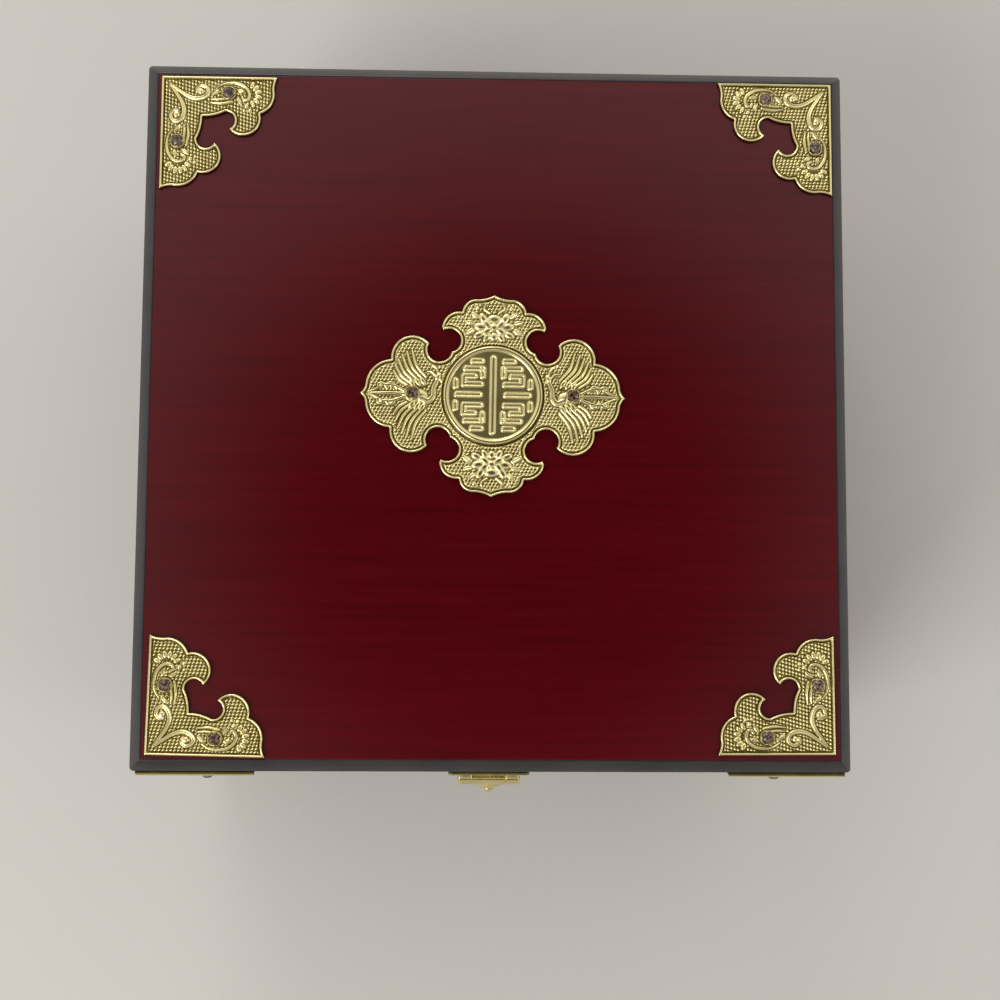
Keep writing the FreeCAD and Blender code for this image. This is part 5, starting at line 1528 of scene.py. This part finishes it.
def case_box(node):
    """The corners of a CAD node's box, in millimetres."""
    low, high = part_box(node)
    return np.array(low) / MM, np.array(high) / MM


def board(name, node, body, outer):
    """The plan's corners have the box's radius on the outer side and a small one inside. Each
    ring is the plan drawn in by a few tenths, and its corners' radii shrink by as much."""
    low, high = case_box(node)
    front_two, back_two = (CORNER_ROUND, INNER_ROUND) if outer == "front" else (INNER_ROUND, CORNER_ROUND)
    radii = np.array([front_two, front_two, back_two, back_two])
    levels = [(inset, low[2] + rise) for inset, rise in STEPS_IN]
    levels += [(inset, high[2] - rise) for inset, rise in STEPS_IN[::-1]]
    rings = []
    for inset, z in levels:
        corners = [(low[0] + inset, low[1] + inset), (high[0] - inset, low[1] + inset),
                   (high[0] - inset, high[1] - inset), (low[0] + inset, high[1] - inset)]
        plan = rounded_section(corners, np.maximum(radii - inset, 0.05), 5, hold=0.6)
        rings.append(np.column_stack([plan, np.full(len(plan), z)]))
    mesh = closed_mesh(name, *closed_tube(np.array(rings)), BOARD_SHARP_FROM)
    add_piece(mesh, red_wood["x"], body, "red_wood", node)


board("front_rail_board", "front_rail", "case", "front")
board("drawer_front_board", "drawer_front", "drawer", "front")
board("back_board", "back_panel", "case", "back")
print("boards ready")

# %% [markdown]
# ## Velvet
# The compartments are lined with deep red velvet over card. Velvet has a short upright pile: it
# looks dark when looked into and bright where light grazes it, and it shows patches where the
# pile leans another way. Sheen gives the bright graze, broad noise gives the leaning patches, and
# fine noise is the pile itself.


# %% Velvet
def velvet_cloth(name, dark, light, sheen):
    finish = Finish(name)
    lean = finish.noise(finish.place, 26, 2.0, 0.4)
    pile = finish.noise(finish.place, 2600, 3.0, 0.7)
    tufts = finish.noise(finish.place, 700, 3.0, 0.6)
    colour = finish.between(lean, dark, light, 0.36, 0.64)
    colour = finish.mixed(finish.between(pile, 0.0, 0.55, 0.35, 0.65), colour, tuple(1.6 * c for c in light))
    depth = finish.sum_of(pile, finish.sum_of(tufts, 0.8, "MULTIPLY"))
    return finish.dress(
        Base_Color=colour,
        Roughness=0.95,
        Specular_IOR_Level=0.1,
        Sheen_Weight=0.85,
        Sheen_Roughness=0.35,
        Sheen_Tint=sheen,
        Normal=finish.bumps(depth, 0.00022),
    )


velvet = velvet_cloth("red_velvet", (0.080, 0.004, 0.009), (0.15, 0.007, 0.015), (0.9, 0.38, 0.38))
felt = velvet_cloth("green_felt", (0.012, 0.035, 0.02), (0.02, 0.052, 0.03), (0.4, 0.6, 0.5))


def velvet_boards(name, boxes, radius, body, node):
    """Velvet-covered boards as one piece: boxes in millimetres with soft edges."""
    mesh = closed_mesh(name, *joined(*(round_box(low, high, radius) for low, high in boxes)))
    add_piece(mesh, velvet, body, "velvet", node)


(left, front, foot), (right, back, top) = case_box("wall_linings")
THICK = 2.0
velvet_boards("velvet_walls", [
    ((left, front, foot), (right, front + THICK, top)),
    ((left, back - THICK, foot), (right, back, top)),
    ((left, front + THICK, foot), (left + THICK, back - THICK, top)),
    ((right - THICK, front + THICK, foot), (right, back - THICK, top)),
], 0.9, "case", "wall_linings")
velvet_boards("velvet_tray_floor", [case_box("tray_floor_card")], 0.4, "case", "tray_floor_card")
drawer_floor, drawer_divider = case_box("drawer_floor_card"), case_box("drawer_divider")
velvet_boards("velvet_drawer_floor", [drawer_floor], 0.4, "drawer", "drawer_floor_card")
velvet_boards("velvet_drawer_divider", [drawer_divider], 1.3, "drawer", "drawer_divider")
TRAY_FLOOR, DIVIDER_TOP = 68, 94
DIVIDERS = [((-114, -21), (114, -18)), ((16, -114), (19, -21)), ((-1.5, -18), (1.5, 114))]
velvet_boards("velvet_dividers", [((*low, TRAY_FLOOR), (*high, DIVIDER_TOP)) for low, high in DIVIDERS],
              1.3, "case", "tray_dividers")
card_section = rounded_section([(0, 142), (0, 141), (10.6, 141), (10.6, 142)], [0.05, 0.3, 0.3, 0.05])
for side in SIDES:
    mesh = closed_mesh(f"velvet_margin_{side}", *mitred_strip(side, 116.6, card_section))
    add_piece(mesh, velvet, "lid", "velvet", "lid_lining_cards")
print("velvet boards ready")

# %% [markdown]
# ## Ring rolls
# Rings are held between seven soft rolls: foam bars wrapped in velvet, pressed side by side. A
# roll has a round back, sides that press flat on its neighbours, and ends where the velvet is
# folded under, so the section draws in there. Small dents along it stop it looking turned.

# %% Ring rolls
ROLLS, ROLL_PITCH, ROLL_LONG = 7, 93 / 7, 129.2
ROLL_LEFT, ROLL_FRONT, ROLL_FOOT, ROLL_TOP = -113.6, -114.0, 68.0, 88.0


def ring_roll(middle, seed):
    """A section carried along X. Its half width follows a flat foot, straight sides and a half
    circle on top; near the ends it shrinks as the root of one minus a power of how near they are."""
    radius = (ROLL_PITCH - 0.4) / 2
    angle = np.linspace(-math.pi / 2, 1.5 * math.pi, 56, endpoint=False)
    across, up = np.cos(angle), np.sin(angle)
    wide = np.sign(across) * np.abs(across) ** np.where(up < 0, 0.28, 1.0) * radius
    tall = np.where(up > 0, up * radius, -np.abs(up) ** 0.35 * (ROLL_TOP - ROLL_FOOT - radius))
    hub = ROLL_TOP - radius
    near_ends = np.linspace(0, 6, 9)
    between_them = np.linspace(6, ROLL_LONG - 6, 60)
    x = np.concatenate([near_ends[:-1], between_them, np.linspace(ROLL_LONG - 6, ROLL_LONG, 9)[1:]])
    end = np.minimum(x, ROLL_LONG - x)
    draw = np.clip(1 - np.clip(1 - end / 5.0, 0, 1) ** 3.2, 0, 1) ** 0.5
    dent = 0.16 * np.sin(x * 0.21 + seed * 2.1) + 0.12 * np.sin(x * 0.47 + seed * 1.3)
    fold = 0.25 * np.exp(-((end - 3.0) / 1.2) ** 2)[:, None] * np.cos(9 * angle)
    scale = draw[:, None]
    top_only = np.clip(up, 0, 1)
    y = middle + 0.985 * wide * (0.25 + 0.75 * scale)
    z = hub + tall * (0.3 + 0.7 * scale) - top_only * (np.abs(dent)[:, None] + np.abs(fold))
    z = np.maximum(z, ROLL_FOOT)
    return closed_tube(np.stack([np.broadcast_to(ROLL_LEFT + x[:, None], y.shape), y, z], axis=2))


for index in range(ROLLS):
    middle = ROLL_FRONT + (index + 0.5) * ROLL_PITCH
    mesh = closed_mesh(f"ring_roll_{index + 1}", *ring_roll(middle, index))
    add_piece(mesh, velvet, "case", "velvet", "ring_cushion")
print("ring rolls:", ROLLS)

# %% [markdown]
# ## Felt under the box
# A sheet of green felt is laid under the box, so that it doesn't scratch a table. It is a thin box
# with soft edges. Its finish is the velvet's, with a duller sheen and another colour.

# %% Felt under the box
mesh = closed_mesh("felt_sheet", *round_box((-123, -123, 0), (123, 123, 1.5), 0.6))
felt_sheet = add_piece(mesh, felt, "case", "green_felt", "base_felt")
print("felt ready")

# %% [markdown]
# ## Mirror
# The mirror is silvered glass with a bevel ground round it. Glass in front of silver sends back
# nearly all light, so a metal with very low roughness looks right, and it renders faster than
# real glass. The bevel is a sloped band in the mesh, which bends the reflection as a real one does.


# %% Mirror
def silvered():
    finish = Finish("mirror_glass")
    dust = finish.noise(finish.place, 240, 4.0)
    return finish.dress(
        Base_Color=finish.between(dust, (0.86, 0.88, 0.88), (0.92, 0.94, 0.94)),
        Metallic=1.0,
        Roughness=finish.between(dust, 0.015, 0.05, 0.4, 0.75),
    )


MIRROR_HALF, MIRROR_LOW, MIRROR_TOP, GLASS_BEVEL = 98.0, 139.0, 142.0, 14.0
SEEN_HALF = MIRROR_HALF - 7.9
squares = [(MIRROR_HALF, MIRROR_TOP), (MIRROR_HALF, MIRROR_LOW + 1.3), (SEEN_HALF, MIRROR_LOW + 1.2),
           (SEEN_HALF - GLASS_BEVEL, MIRROR_LOW)]
unit = np.array([(-1, -1), (1, -1), (1, 1), (-1, 1)])
points = np.concatenate([np.column_stack([unit * half, np.full(4, z)]) for half, z in squares])
faces = np.concatenate([grid_faces(4, 4, False, True), [[3, 2, 1, 0]], [[12, 13, 14, 15]]])
mesh = closed_mesh("bevelled_mirror", points, faces, smooth=False)
add_piece(mesh, silvered(), "lid", "mirror_glass", "mirror")
print("mirror ready")

# %% [markdown]
# ## Bare wood
# The drawer's sides, its runners and the boards that nobody sees are bare wood. The grain is made
# as for the stained boards, but without stain or lacquer it is paler and rougher, and its darker
# streaks show more.


# %% Bare wood
def bare_wood(name, axis):
    finish = Finish(name)
    bands = finish.noise(finish.stretched(along_grain(axis, 2.0, 60)), 1.0, 4.0, 0.6)
    streaks = finish.noise(finish.stretched(along_grain(axis, 14, 900)), 1.0, 3.0, 0.6)
    colour = finish.between(bands, (0.30, 0.175, 0.085), (0.52, 0.35, 0.20), 0.3, 0.7)
    colour = finish.mixed(finish.between(streaks, 0.0, 0.6, 0.4, 0.65), colour, (0.24, 0.13, 0.06))
    return finish.dress(
        Base_Color=colour,
        Roughness=finish.between(bands, 0.6, 0.75),
        Normal=finish.bumps(streaks, 0.00006),
    )


bare = {axis: bare_wood(f"bare_wood_{axis}", axis) for axis in "xy"}
put_on(bare["x"], "compartment_floor", "bottom_board", "drawer_back", "drawer_bottom", "drawer_stop")
put_on(bare["y"], "drawer_side_left", "drawer_side_right", "drawer_runner_left", "drawer_runner_right")
print("bare wood ready")

# %% [markdown]
# ## Softened edges
# No wooden board has a knife edge: sanding and lacquer leave a small round, which catches a line
# of light. The other boards keep their CAD meshes, and two modifiers do it: Weld joins the loose
# triangles, and Bevel rounds every edge that turns by more than 30 degrees. The solids of the lid's
# edge and the plinth get the same round, though strips stand for them, in case they are shown.


# %% Softened edges
def soften(width, *names):
    for name in names:
        weld = cad[name].modifiers.new("weld", "WELD")
        weld.merge_threshold = 0.00001
        bevel = cad[name].modifiers.new("bevel", "BEVEL")
        bevel.width = width * MM
        bevel.segments = 2
        bevel.limit_method = "ANGLE"
        bevel.angle_limit = math.radians(30)
        bevel.harden_normals = True


soften(0.3, "lid_top_panel", "plinth")
soften(0.25, "lid_edge_front", "lid_edge_back", "lid_edge_left", "lid_edge_right")
soften(0.2, "side_left", "side_right")
soften(0.3, "compartment_floor", "bottom_board", "drawer_back", "drawer_bottom", "drawer_stop",
       "drawer_side_left", "drawer_side_right", "drawer_runner_left", "drawer_runner_right")
soften(0.2, "hinge_case_leaves", "hinge_lid_leaves", "hinge_pins")
print("edges softened")
